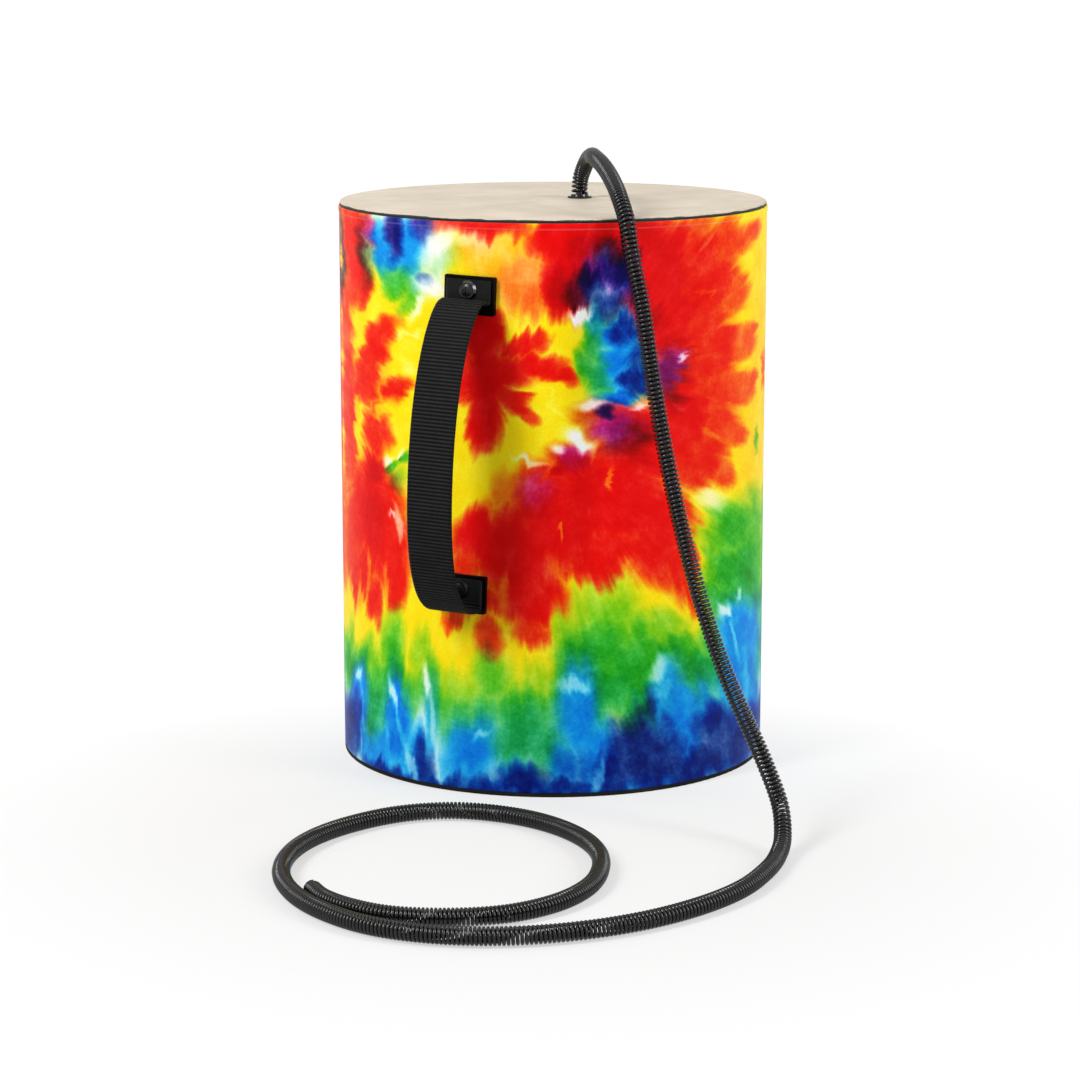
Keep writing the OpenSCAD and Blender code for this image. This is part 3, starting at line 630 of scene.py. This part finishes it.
def dye_field(g, place, spots, soft):
    """The density of one dye: the strongest of its spots."""
    total = None
    for u, v, half_u, half_v, tilt, strength in spots:
        c, s = math.cos(math.radians(tilt)), math.sin(math.radians(tilt))
        if tilt:
            near = g.vector("SUBTRACT", place, (u, v, 0))
            along = g.vector("DOT_PRODUCT", near, (c / half_u, s / half_u, 0))
            aside = g.vector("DOT_PRODUCT", near, (-s / half_v, c / half_v, 0))
            reach = g.vector("LENGTH", g.join(along, aside))
        else:
            scale, shift = (1 / half_u, 1 / half_v, 0), (-u / half_u, -v / half_v, 0)
            reach = g.vector("LENGTH", g.vector("MULTIPLY_ADD", place, scale, shift))
        spot = g.ramp(reach, 1 + soft, 1 - soft, 0, strength)
        total = spot if total is None else g.math("MAXIMUM", total, spot)
    return total


def folded_place(g, place):
    """The cloth was dyed folded: past the photographed half the layout comes back mirrored."""
    u, v, w = g.split(place)
    aside = g.math("ABSOLUTE", u)
    past = g.math("MAXIMUM", g.math("SUBTRACT", aside, float(FOLD_AT)), 0.0)
    folded = g.math("MULTIPLY_ADD", past, -1 - BACK_SHARE, aside)
    return g.join(g.math("MULTIPLY", folded, g.math("SIGN", u)), v)


def spreading(g, place):
    """The direction in which dye spreads, and a place that varies across that direction."""
    flow = turn = far = freedom = None
    for burst in BURSTS:
        ray = g.vector("SUBTRACT", place, (*burst, 0))
        x, y, z = g.split(ray)
        square = g.vector("DOT_PRODUCT", ray, ray)
        softened = g.math("ADD", square, BURST_SOFT)
        push = g.scaled(ray, g.math("DIVIDE", 1.0, softened))
        angle = g.math("ARCTAN2", y, x)
        depth = g.math("LOGARITHM", softened, math.e)
        free = g.math("DIVIDE", square, g.math("ADD", square, CALM))
        flow = push if flow is None else g.vector("ADD", flow, push)
        turn = angle if turn is None else g.math("ADD", turn, angle)
        far = depth if far is None else g.math("ADD", far, depth)
        freedom = free if freedom is None else g.math("MULTIPLY", freedom, free)
    across = g.join(g.math("COSINE", turn), g.math("SINE", turn), g.math("MULTIPLY", far, FEATHER_DEPTH))
    return g.scaled(g.vector("NORMALIZE", flow), freedom), across


def feathered_place(g, place):
    """The cloth's place, pushed to and fro along the dye's spreading, and what feathers it."""
    folded = folded_place(g, place)
    way, across = spreading(g, folded)
    side = g.split(place)[0]
    across = g.vector("ADD", across, g.join(0.0, 0.0, g.math("MULTIPLY", side, FEATHER_DRIFT)))
    push = 0.0
    for scale, detail, reach in FEATHERS:
        ray = g.math("MULTIPLY_ADD", g.noise(across, scale, detail=detail), 2.0, -1.0)
        push = g.math("MULTIPLY_ADD", ray, reach, push)
    moved = g.vector("SUBTRACT", folded, g.scaled(way, push))
    wander = g.noise(place, 0.05, detail=3, output="Color")
    fine = g.noise(place, 0.3, detail=4, roughness=0.6, output="Color")
    moved = g.vector("ADD", moved, g.scaled(g.vector("SUBTRACT", wander, (0.5, 0.5, 0.5)), WANDER))
    moved = g.vector("ADD", moved, g.scaled(g.vector("SUBTRACT", fine, (0.5, 0.5, 0.5)), FRAY))
    return g.vector("MULTIPLY", moved, (1.0, 1.0, 0.0)), across


def yielding(g, field, other, share):
    """A dye that is kept off by another one."""
    return g.math("MULTIPLY", field, g.math("MULTIPLY_ADD", other, -share, 1.0))


def dye_fields(g, place):
    """The density of every dye, after each has kept off the ones that it yields to."""
    navy = dye_field(g, place, NAVY_SPOTS, SOFTNESS["navy"])
    cyan = dye_field(g, place, CYAN_SPOTS, SOFTNESS["cyan"])
    red = dye_field(g, place, RED_SPOTS, SOFTNESS["red"])
    red = yielding(g, red, dye_field(g, place, RED_BREAKS, SOFTNESS["gaps"]), 1.0)
    red = yielding(g, red, navy, 0.8)
    green = yielding(g, dye_field(g, place, GREEN_SPOTS, SOFTNESS["green"]), cyan, 0.8)
    u, v, w = g.split(place)
    yellow = g.ramp(v, YELLOW_LOW + YELLOW_FADE[0], YELLOW_LOW + YELLOW_FADE[1])
    yellow = yielding(g, yellow, dye_field(g, place, YELLOW_GAPS, SOFTNESS["gaps"]), 1.0)
    for other, share in ((red, 0.6), (green, 0.7), (cyan, 0.8), (navy, 0.7)):
        yellow = yielding(g, yellow, other, share)
    magenta = dye_field(g, place, MAGENTA_SPOTS, SOFTNESS["magenta"])
    return {
        "yellow": yellow, "red": red, "magenta": magenta, "navy": navy, "cyan": cyan, "green": green
    }


def dye_depth(g, place, moved, across):
    """How deeply the cloth took the dyes: mottled, streaked and grainy, with undyed veins."""
    mottle = g.noise(place, 0.07, detail=5, roughness=0.65)
    streak = g.noise(across, 6.0, detail=3, roughness=0.6)
    grain = g.noise(place, 0.5, detail=3)
    depth = g.ramp(mottle, 0.25, 0.75, 0.62, 1.18)
    depth = g.math("MULTIPLY", depth, g.ramp(streak, 0.25, 0.75, 0.88, 1.1))
    depth = g.math("MULTIPLY", depth, g.ramp(grain, 0.25, 0.75, 0.92, 1.08))
    white = dye_field(g, moved, WHITE_SPOTS, SOFTNESS["white"])
    return g.math("MULTIPLY", depth, g.math("SUBTRACT", 1.0, white, clamp=True)), grain


def tie_dye():
    """Dyes that bleed into each other on white cloth, feathered outwards, with undyed veins."""
    g = Graph("tie_dye")
    place = g.scaled(g.surface_place(), 1000.0)
    moved, across = feathered_place(g, place)
    depth, grain = dye_depth(g, place, moved, across)
    colour = CLOTH_WHITE
    for dye, field in dye_fields(g, moved).items():
        through = g.add("Gamma")
        through.inputs["Color"].default_value = (*DYE_COLOURS[dye], 1)
        g.feed(through.inputs["Gamma"], g.math("MULTIPLY", field, depth))
        colour = g.mix(1.0, colour, through.outputs[0], blend="MULTIPLY")
    u, v, w = g.split(place)
    turns = 2 * math.pi / WEAVE_PITCH
    weave = g.math("ADD", *(g.math("SINE", g.math("MULTIPLY", side, turns)) for side in (u, v)))
    thread = g.noise(place, 1.3, detail=1)
    colour = g.mix(g.ramp(thread, 0.3, 0.7, 0.0, 0.1), colour, (0.02, 0.02, 0.02))
    from_hem = g.math("ABSOLUTE", g.math("SUBTRACT", v, HEM_FOOT))
    # Painted highlight along the hem's lower edge.
    colour = g.mix(g.ramp(from_hem, *HEM_HIGHLIGHT, 0.0, 0.05), colour, CLOTH_WHITE)
    g.set(Base_Color=colour, Roughness=g.ramp(grain, 0.25, 0.75, 0.46, 0.56))
    g.set(Specular_IOR_Level=0.05, Sheen_Weight=0.12, Sheen_Roughness=0.35)
    g.bump(g.math("MULTIPLY_ADD", weave, 0.2, grain), 0.00005, 0.4)
    return g.material


# Wrap: the printed sheet round the shell, with its hem and the strip that closes it

WRAP_T = 0.0008
HEM_T = 0.0003
SEAM_HALF = 0.007
SEAM_T = 0.0005
SEAM_EDGE = 0.0005
# Rounding of the sheet's cut edges: how far in from each edge, and how deep
LOW_ROUND = 0.001
HIGH_ROUND = 0.0008
ROUND_T = 0.0004
# Height over which the hem steps out
HEM_STEP = 0.0004
# Faint waves of the cloth, which fade towards its edges
WAVE_T = 0.00018
WAVE_FADE = 0.03
# Each wave is a count round the drum, a count up it, a phase and a share
WAVES = [(5, 9, 0, 0.5), (11, -31, 1.3, 0.3)]
# Rows of points: up from the foot, between its end and the hem, about the hem's edge, down from the top
FOOT_ROWS = [0, 0.0004, 0.001, 0.002]
BODY_ROWS = 90
BODY_GAPS = (0.004, 0.002)
HEM_ROWS = [-0.0006, -0.0002, 0.0002, 0.0006]
TOP_ROWS = [0.0008, 0.0003, 0]
WRAP_COLUMNS = 720


def wrap_heights():
    """The heights of the sheet's rows, closer together at its edges and its hem."""
    hem = WRAP_HIGH - HEM_H
    body = np.linspace(WRAP_LOW + BODY_GAPS[0], hem - BODY_GAPS[1], BODY_ROWS)
    foot = WRAP_LOW + np.array(FOOT_ROWS)
    return np.concatenate([foot, body, hem + np.array(HEM_ROWS), WRAP_HIGH - np.array(TOP_ROWS)])


def wrap_radius(angle, z):
    """The outer radius: rounded edges, the hem, the closing strip and faint waves in the cloth."""
    low, high = WRAP_LOW, WRAP_HIGH
    r = np.full(np.broadcast(angle, z).shape, WRAP_R)
    hem = np.clip((z - (high - HEM_H)) / HEM_STEP + 0.5, 0, 1)
    r = r + HEM_T * hem
    round_low = np.clip(1 - (z - low) / LOW_ROUND, 0, 1)
    round_high = np.clip(1 - (high - z) / HIGH_ROUND, 0, 1)
    r = r - ROUND_T * (round_low**2 + round_high**2)
    from_seam = (np.pi - np.abs(angle)) * WRAP_R
    strip = np.clip((SEAM_HALF - from_seam) / SEAM_EDGE, 0, 1)
    r = r + SEAM_T * strip
    middle = np.clip((z - low) / WAVE_FADE, 0, 1) * np.clip((high - HEM_H - z) / WAVE_FADE, 0, 1)
    waves = sum(share * np.sin(about * angle + up * z + phase) for about, up, phase, share in WAVES)
    return r + WAVE_T * middle * waves


def make_wrap(material):
    """The sheet as a closed mesh, with its place on the unrolled cloth."""
    angle = np.linspace(-np.pi, np.pi, WRAP_COLUMNS + 1)
    edge = np.pi - np.array([SEAM_HALF - SEAM_EDGE, SEAM_HALF]) / WRAP_R
    angle = np.unique(np.concatenate([angle, edge, -edge]))
    z = wrap_heights()
    a, h = np.meshgrid(angle, z)
    outer = wrap_radius(a, h)
    inner = np.full_like(outer, WRAP_R - WRAP_T)
    sheets = [
        np.stack([r * np.sin(a), -r * np.cos(a), height], -1)
        for r, height in ((outer, h), (inner, h[::-1]))
    ]
    points = np.concatenate(sheets)[:, :-1]
    rows, columns = points.shape[:2]
    faces = grid_faces(rows, columns, rows_closed=True, columns_closed=True)
    wrap = make_mesh("dyed_wrap", points.reshape(-1, 3), faces)
    across = WRAP_R * (a - CAMERA_AZIMUTH)
    uv = np.concatenate([np.stack([across, h], -1), np.stack([across, h[::-1]], -1)])
    corners = grid_faces(rows, columns + 1, rows_closed=True)
    map_surface(wrap, uv.reshape(-1, 2)[corners.ravel()])
    dress(wrap, material)
    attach(wrap, "drum")
    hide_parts("wrap")


make_wrap(tie_dye())


# Strap: one length of webbing, screwed flat at both ends and arched between them

HANDLE_LEAN = math.radians(2)
SCREW_HALF_SPAN = 0.0785
HANDLE_Z = 0.190
STRAP_W = 0.025
STRAP_T = 0.0018
STRAP_FLAT_OUT = 0.1194
STRAP_ROOT = 0.1206
STRAP_REACH = 0.0404
UPPER_FOLD_DROP = 0.0068
LOWER_FOLD_DROP = 0.0108
END_RISE = 0.0055
BELLY_DROP = 0.018
FULL_UPPER = 2.05
FULL_LOWER = 2.4
LIFT = 0.0032
LIFT_OUT = 0.012
# Length of each end that is pressed flat under its screw, and over which the ribs then grow
FLAT_LENGTH = 0.011
RIB_GROWTH = 0.004
RIB_PITCH = 0.00194
RIB_DEPTH = 0.00034
STEPS_PER_RIB = 8
YARN_PITCH = 0.0011
# Width of the plain edge, and of its rounding
SELVAGE = 0.0014
EDGE_ROUND = 0.0009
EDGE_LEAST = 0.04
STRAP_COLUMNS = 27
# Points along the free part and along each bend, and rows over which the middle line is smoothed
STRAP_STEPS = 400
BEND_STEPS = 6
SMOOTH_ROWS = 9


def strap_line():
    """The strap's middle line as distance out from the drum's axis and height from its middle."""
    upper = SCREW_HALF_SPAN - UPPER_FOLD_DROP
    lower = -SCREW_HALF_SPAN - LOWER_FOLD_DROP
    upper_span, lower_span = upper + BELLY_DROP, -lower - BELLY_DROP
    t = np.linspace(0, np.pi, STRAP_STEPS)
    full = np.where(t < np.pi / 2, FULL_UPPER, FULL_LOWER)
    rise = np.abs(np.cos(t)) ** (2 / full)
    out = STRAP_ROOT + STRAP_REACH * np.sin(t) ** (2 / full)
    high = -BELLY_DROP + np.where(t < np.pi / 2, upper_span, -lower_span) * rise
    share = (out - STRAP_ROOT) / LIFT_OUT
    high = high + np.where(t < np.pi / 2, LIFT * share * np.exp(1 - share) * np.cos(t) ** 2, 0)
    free = np.stack([out, high], 1)
    bend = STRAP_ROOT - STRAP_FLAT_OUT
    turn = np.linspace(0, np.pi / 2, BEND_STEPS)[:-1]
    first = np.stack([STRAP_ROOT - bend * np.cos(turn), upper + bend - bend * np.sin(turn)], 1)
    last = np.stack([STRAP_ROOT - bend * np.cos(turn), lower + bend - bend * np.sin(turn)], 1)[::-1]
    top = np.array([[STRAP_FLAT_OUT, SCREW_HALF_SPAN + END_RISE]])
    end = np.array([[STRAP_FLAT_OUT, -SCREW_HALF_SPAN + END_RISE]])
    return np.vstack([top, first, free, last, end])


def lean(points):
    """Points of the upright handle, leaned as the handle is and put in the part's frame."""
    x, y, z = np.moveaxis(points, -1, 0)
    c, s = math.cos(HANDLE_LEAN), math.sin(HANDLE_LEAN)
    return np.stack([x * c + z * s, y, -x * s + z * c + HANDLE_Z], -1)


def webbing(length):
    """Black woven nylon: its ribs are in the mesh; the yarns, the flattened ends and painted shade in
    the rib grooves are added here.
    """
    g = Graph("webbing")
    u, v, w = g.split(g.surface_place())
    yarn = g.math("SINE", g.math("MULTIPLY", u, 2 * math.pi / YARN_PITCH))
    shade = g.noise(g.surface_place(), 120, detail=4)
    fuzz = g.noise(g.surface_place(), 2600, detail=2)
    groove = g.math("COSINE", g.math("MULTIPLY", v, 2 * math.pi / RIB_PITCH))
    from_middle = g.math("ABSOLUTE", g.math("SUBTRACT", v, length / 2))
    flat_from = length / 2 - FLAT_LENGTH
    ribbed = g.ramp(from_middle, flat_from, flat_from - RIB_GROWTH)
    uneven = g.math("MULTIPLY_ADD", g.noise(g.surface_place(), 700, detail=2), 1.6, -0.8)
    groove = g.math("MULTIPLY", g.math("ADD", groove, uneven), ribbed)
    base = g.mix(g.ramp(shade, 0.3, 0.75), (0.0035, 0.0035, 0.0038), (0.0075, 0.0075, 0.008))
    # Painted shade: the colour is darkened down in the rib grooves, and their gloss is lowered there
    # too.
    base = g.mix(g.ramp(groove, -0.2, 0.8, 0, 0.8), base, (0.0015, 0.0015, 0.0015))
    g.set(Base_Color=base, Roughness=g.ramp(fuzz, 0.3, 0.7, 0.55, 0.75))
    g.set(Specular_IOR_Level=g.ramp(groove, -0.9, 0.9, 0.18, 0.06))
    g.set(Sheen_Weight=0.01, Sheen_Roughness=0.4)
    g.bump(g.math("ADD", g.math("MULTIPLY", yarn, 0.35), fuzz), 0.00009, 0.7)
    return g.material


def strap_middle(s):
    """The strap's middle line at lengths along it, smoothed, and its outward normals."""
    line = strap_line()
    lengths = lengths_along(line)
    middle = np.stack([np.interp(s, lengths, line[:, k]) for k in range(2)], 1)
    smooth = np.ones(SMOOTH_ROWS) / SMOOTH_ROWS
    for k in range(2):
        padded = np.pad(middle[:, k], SMOOTH_ROWS // 2, mode="edge")
        middle[:, k] = np.convolve(padded, smooth, "valid")
    way = unit(np.gradient(middle, axis=0))
    return middle, np.stack([-way[:, 1], way[:, 0]], 1)


def strap_thickness(s, across):
    """Half the strap's thickness, with its ribs, its plain edges and their rounding."""
    inwards = STRAP_W / 2 - np.abs(across)
    from_edge = np.clip(inwards / SELVAGE, 0, 1)
    rib = 0.5 + 0.5 * np.cos(2 * np.pi * s / RIB_PITCH)
    rib = rib * np.clip((np.minimum(s, s[-1] - s) - FLAT_LENGTH) / RIB_PITCH, 0, 1)
    thick = STRAP_T / 2 - RIB_DEPTH * from_edge[None, :] * rib[:, None]
    rounding = 1 - (1 - np.clip(inwards / EDGE_ROUND, 0, 1)) ** 2
    return thick * np.sqrt(np.clip(rounding, EDGE_LEAST, 1))


def make_strap():
    """The strap as a closed mesh, which bends from the drum into its swinging part."""
    length = lengths_along(strap_line())[-1]
    s = np.arange(0, length, RIB_PITCH / STEPS_PER_RIB)
    across = np.linspace(-STRAP_W / 2, STRAP_W / 2, STRAP_COLUMNS)
    middle, normal = strap_middle(s)
    thick = strap_thickness(s, across)
    sides = []
    for sign, order in ((1, slice(None)), (-1, slice(None, None, -1))):
        place = middle[:, None, :] + sign * thick[:, order, None] * normal[:, None, :]
        x = np.broadcast_to(across[order], place.shape[:2])
        sides.append(np.stack([x, -place[..., 0], place[..., 1]], -1))
    points = np.concatenate(sides, 1)
    rows, columns = points.shape[:2]
    faces = [list(f) for f in grid_faces(rows, columns, columns_closed=True)]
    faces.append(list(range(columns)))
    faces.append([(rows - 1) * columns + k for k in range(columns)][::-1])
    strap = make_mesh("webbing_strap", lean(points).reshape(-1, 3), faces)
    u = np.concatenate([across, across[::-1]])
    uv = np.stack(np.broadcast_arrays(u[None, :], s[:, None]), -1)
    map_surface(strap, uv.reshape(-1, 2)[[k for f in faces for k in f]])
    dress(strap, webbing(float(length)))
    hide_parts("handle_strap", "upper_strap_end", "lower_strap_end")
    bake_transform(strap)


make_strap()


# Materials of the CAD pieces

black_steel = worn_metal("black_steel", (0.02, 0.02, 0.021), 0.32, metallic=0.6)
# A darker, duller black for the lower screw and its cup: painted shade of the strap's fold that lies
# over them.
shaded_lower_black = worn_metal("shaded_lower_black", (0.004, 0.004, 0.0042), 0.5, metallic=0.0, specular=0.1)
cup_nickel = worn_metal("cup_nickel", (0.08, 0.08, 0.083), 0.22)
bright_steel = worn_metal("bright_steel", (0.58, 0.57, 0.55), 0.3)
anchor_metal = worn_metal("anchor_metal", (0.05, 0.05, 0.053), 0.16)
plate_black = moulded_plastic("plate_black", (0.0018, 0.0018, 0.0018), 0.36)
trim_black = moulded_plastic("trim_black", (0.012, 0.011, 0.010), 0.55)

CAD_LOOKS = {
    "shell": (fibre_board(), "shell"),
    "head_hoop": (hoop_edge(), "hoop"),
    "head_film": (head_fibre(), "film"),
    "bottom_trim": (trim_black, "trim"),
    "anchor_bolt": (anchor_metal, "anchor_metal"),
    "anchor_nut": (anchor_metal, "anchor_metal"),
    "anchor_washer": (bright_steel, "bright_steel"),
}
# The lower screw and cup take the darker black, which paints the shade under the strap's fold; the upper
# pair keeps its own finish.
SCREW_LOOKS = {"upper": black_steel, "lower": shaded_lower_black}
CUP_LOOKS = {"upper": cup_nickel, "lower": shaded_lower_black}
for end in ("upper", "lower"):
    CAD_LOOKS[end + "_handle_plate"] = (plate_black, "plate")
    CAD_LOOKS[end + "_handle_screw"] = (SCREW_LOOKS[end], "black_steel")
    CAD_LOOKS[end + "_cup_washer"] = (CUP_LOOKS[end], "black_steel")
    CAD_LOOKS[end + "_inner_washer"] = (bright_steel, "bright_steel")
    CAD_LOOKS[end + "_handle_nut"] = (bright_steel, "bright_steel")

for name, (look, slot_name) in CAD_LOOKS.items():
    dress(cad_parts[name], look)

dress(spring, spring_steel())


# Floor, light and background

FLOOR_HALF = 30.0
FLOOR_GREY = (0.64, 0.64, 0.64, 1)
FLOOR_GLOW = 1.03
# The floor turns plain white away from a point in front of the drum: distances, and shares of the white
FLOOR_MIDDLE = (0.07, -0.22, 0)
FLOOR_FADE = (0.16, 0.38, 0.55, 1.0)
# The fill light behind the drum and on the camera's side, and where it changes between them
FILL_BEHIND = 0.85
FILL_IN_FRONT = 0.16
FILL_CHANGE = (-0.7, 0.5)
LAMP_TARGET = Vector((0.03, -0.08, 0.15))
WHITE = (1, 1, 1, 1)


def shown_rays(n):
    """One for the rays that show the white background: the camera's, and those off or through things."""
    light_path = n.add("LightPath")
    shown = light_path.outputs["Is Camera Ray"]
    for kind in ("Is Glossy Ray", "Is Transmission Ray"):
        shown = n.math("MAXIMUM", shown, light_path.outputs[kind])
    return shown


def floor_material():
    """White that keeps the object's soft shadow, and is plain white far away."""
    material = bpy.data.materials.new("studio_floor")
    material.use_nodes = True
    n = Nodes(material.node_tree)
    output, mix, matte, glow = (
        n.add(kind) for kind in ("OutputMaterial", "MixShader", "BsdfDiffuse", "Emission")
    )
    matte.inputs["Color"].default_value = FLOOR_GREY
    glow.inputs["Color"].default_value = WHITE
    glow.inputs["Strength"].default_value = FLOOR_GLOW
    away = n.vector("DISTANCE", n.add("TexCoord").outputs["Object"], FLOOR_MIDDLE)
    fade = n.ramp(away, *FLOOR_FADE, smooth=False)
    n.feed(mix.inputs[0], n.math("MULTIPLY", shown_rays(n), fade))
    n.feed(mix.inputs[1], matte.outputs[0])
    n.feed(mix.inputs[2], glow.outputs[0])
    n.feed(output.inputs["Surface"], mix.outputs[0])
    return material


def studio_floor():
    """The floor that the drum stands on."""
    mesh = bpy.data.meshes.new("studio_floor")
    corners = [(x * FLOOR_HALF, y * FLOOR_HALF, 0) for x, y in ((-1, -1), (1, -1), (1, 1), (-1, 1))]
    mesh.from_pydata(corners, [], [(0, 1, 2, 3)])
    floor = bpy.data.objects.new("studio_floor", mesh)
    floor.data.materials.append(floor_material())
    bpy.context.scene.collection.objects.link(floor)


def studio_world():
    """White where it shows, and a soft fill that is weaker on the camera's side."""
    world = bpy.data.worlds.new("studio")
    bpy.context.scene.world = world
    world.use_nodes = True
    n = Nodes(world.node_tree)
    output, background = n.add("OutputWorld"), n.add("Background")
    camera_side = (math.sin(CAMERA_AZIMUTH), -math.cos(CAMERA_AZIMUTH), 0)
    facing = n.vector("DOT_PRODUCT", n.add("TexCoord").outputs["Generated"], camera_side)
    fill = n.ramp(facing, *FILL_CHANGE, FILL_BEHIND, FILL_IN_FRONT, smooth=False)
    n.feed(background.inputs["Strength"], n.math("MAXIMUM", fill, shown_rays(n)))
    background.inputs["Color"].default_value = WHITE
    n.feed(output.inputs["Surface"], background.outputs[0])


def softbox(name, azimuth, distance, height, width, tall, power):
    """A rectangular lamp that faces the drum, placed by its direction from the camera's side."""
    data = bpy.data.lights.new(name, "AREA")
    data.shape = "RECTANGLE"
    data.size, data.size_y = width, tall
    data.energy = power
    lamp = bpy.data.objects.new(name, data)
    turn = CAMERA_AZIMUTH + math.radians(azimuth)
    lamp.location = (distance * math.sin(turn), -distance * math.cos(turn), height)
    lamp.rotation_euler = (LAMP_TARGET - lamp.location).to_track_quat("-Z", "Y").to_euler()
    bpy.context.scene.collection.objects.link(lamp)


studio_floor()
studio_world()
softbox("left_box", -46, 1.5, 1.3, 0.4, 0.8, 28)
softbox("right_box", 60, 1.6, 0.9, 0.4, 1.0, 18)
softbox("top_box", 160, 0.3, 1.9, 1.2, 1.2, 2)

bpy.context.scene.view_settings.view_transform = "Standard"
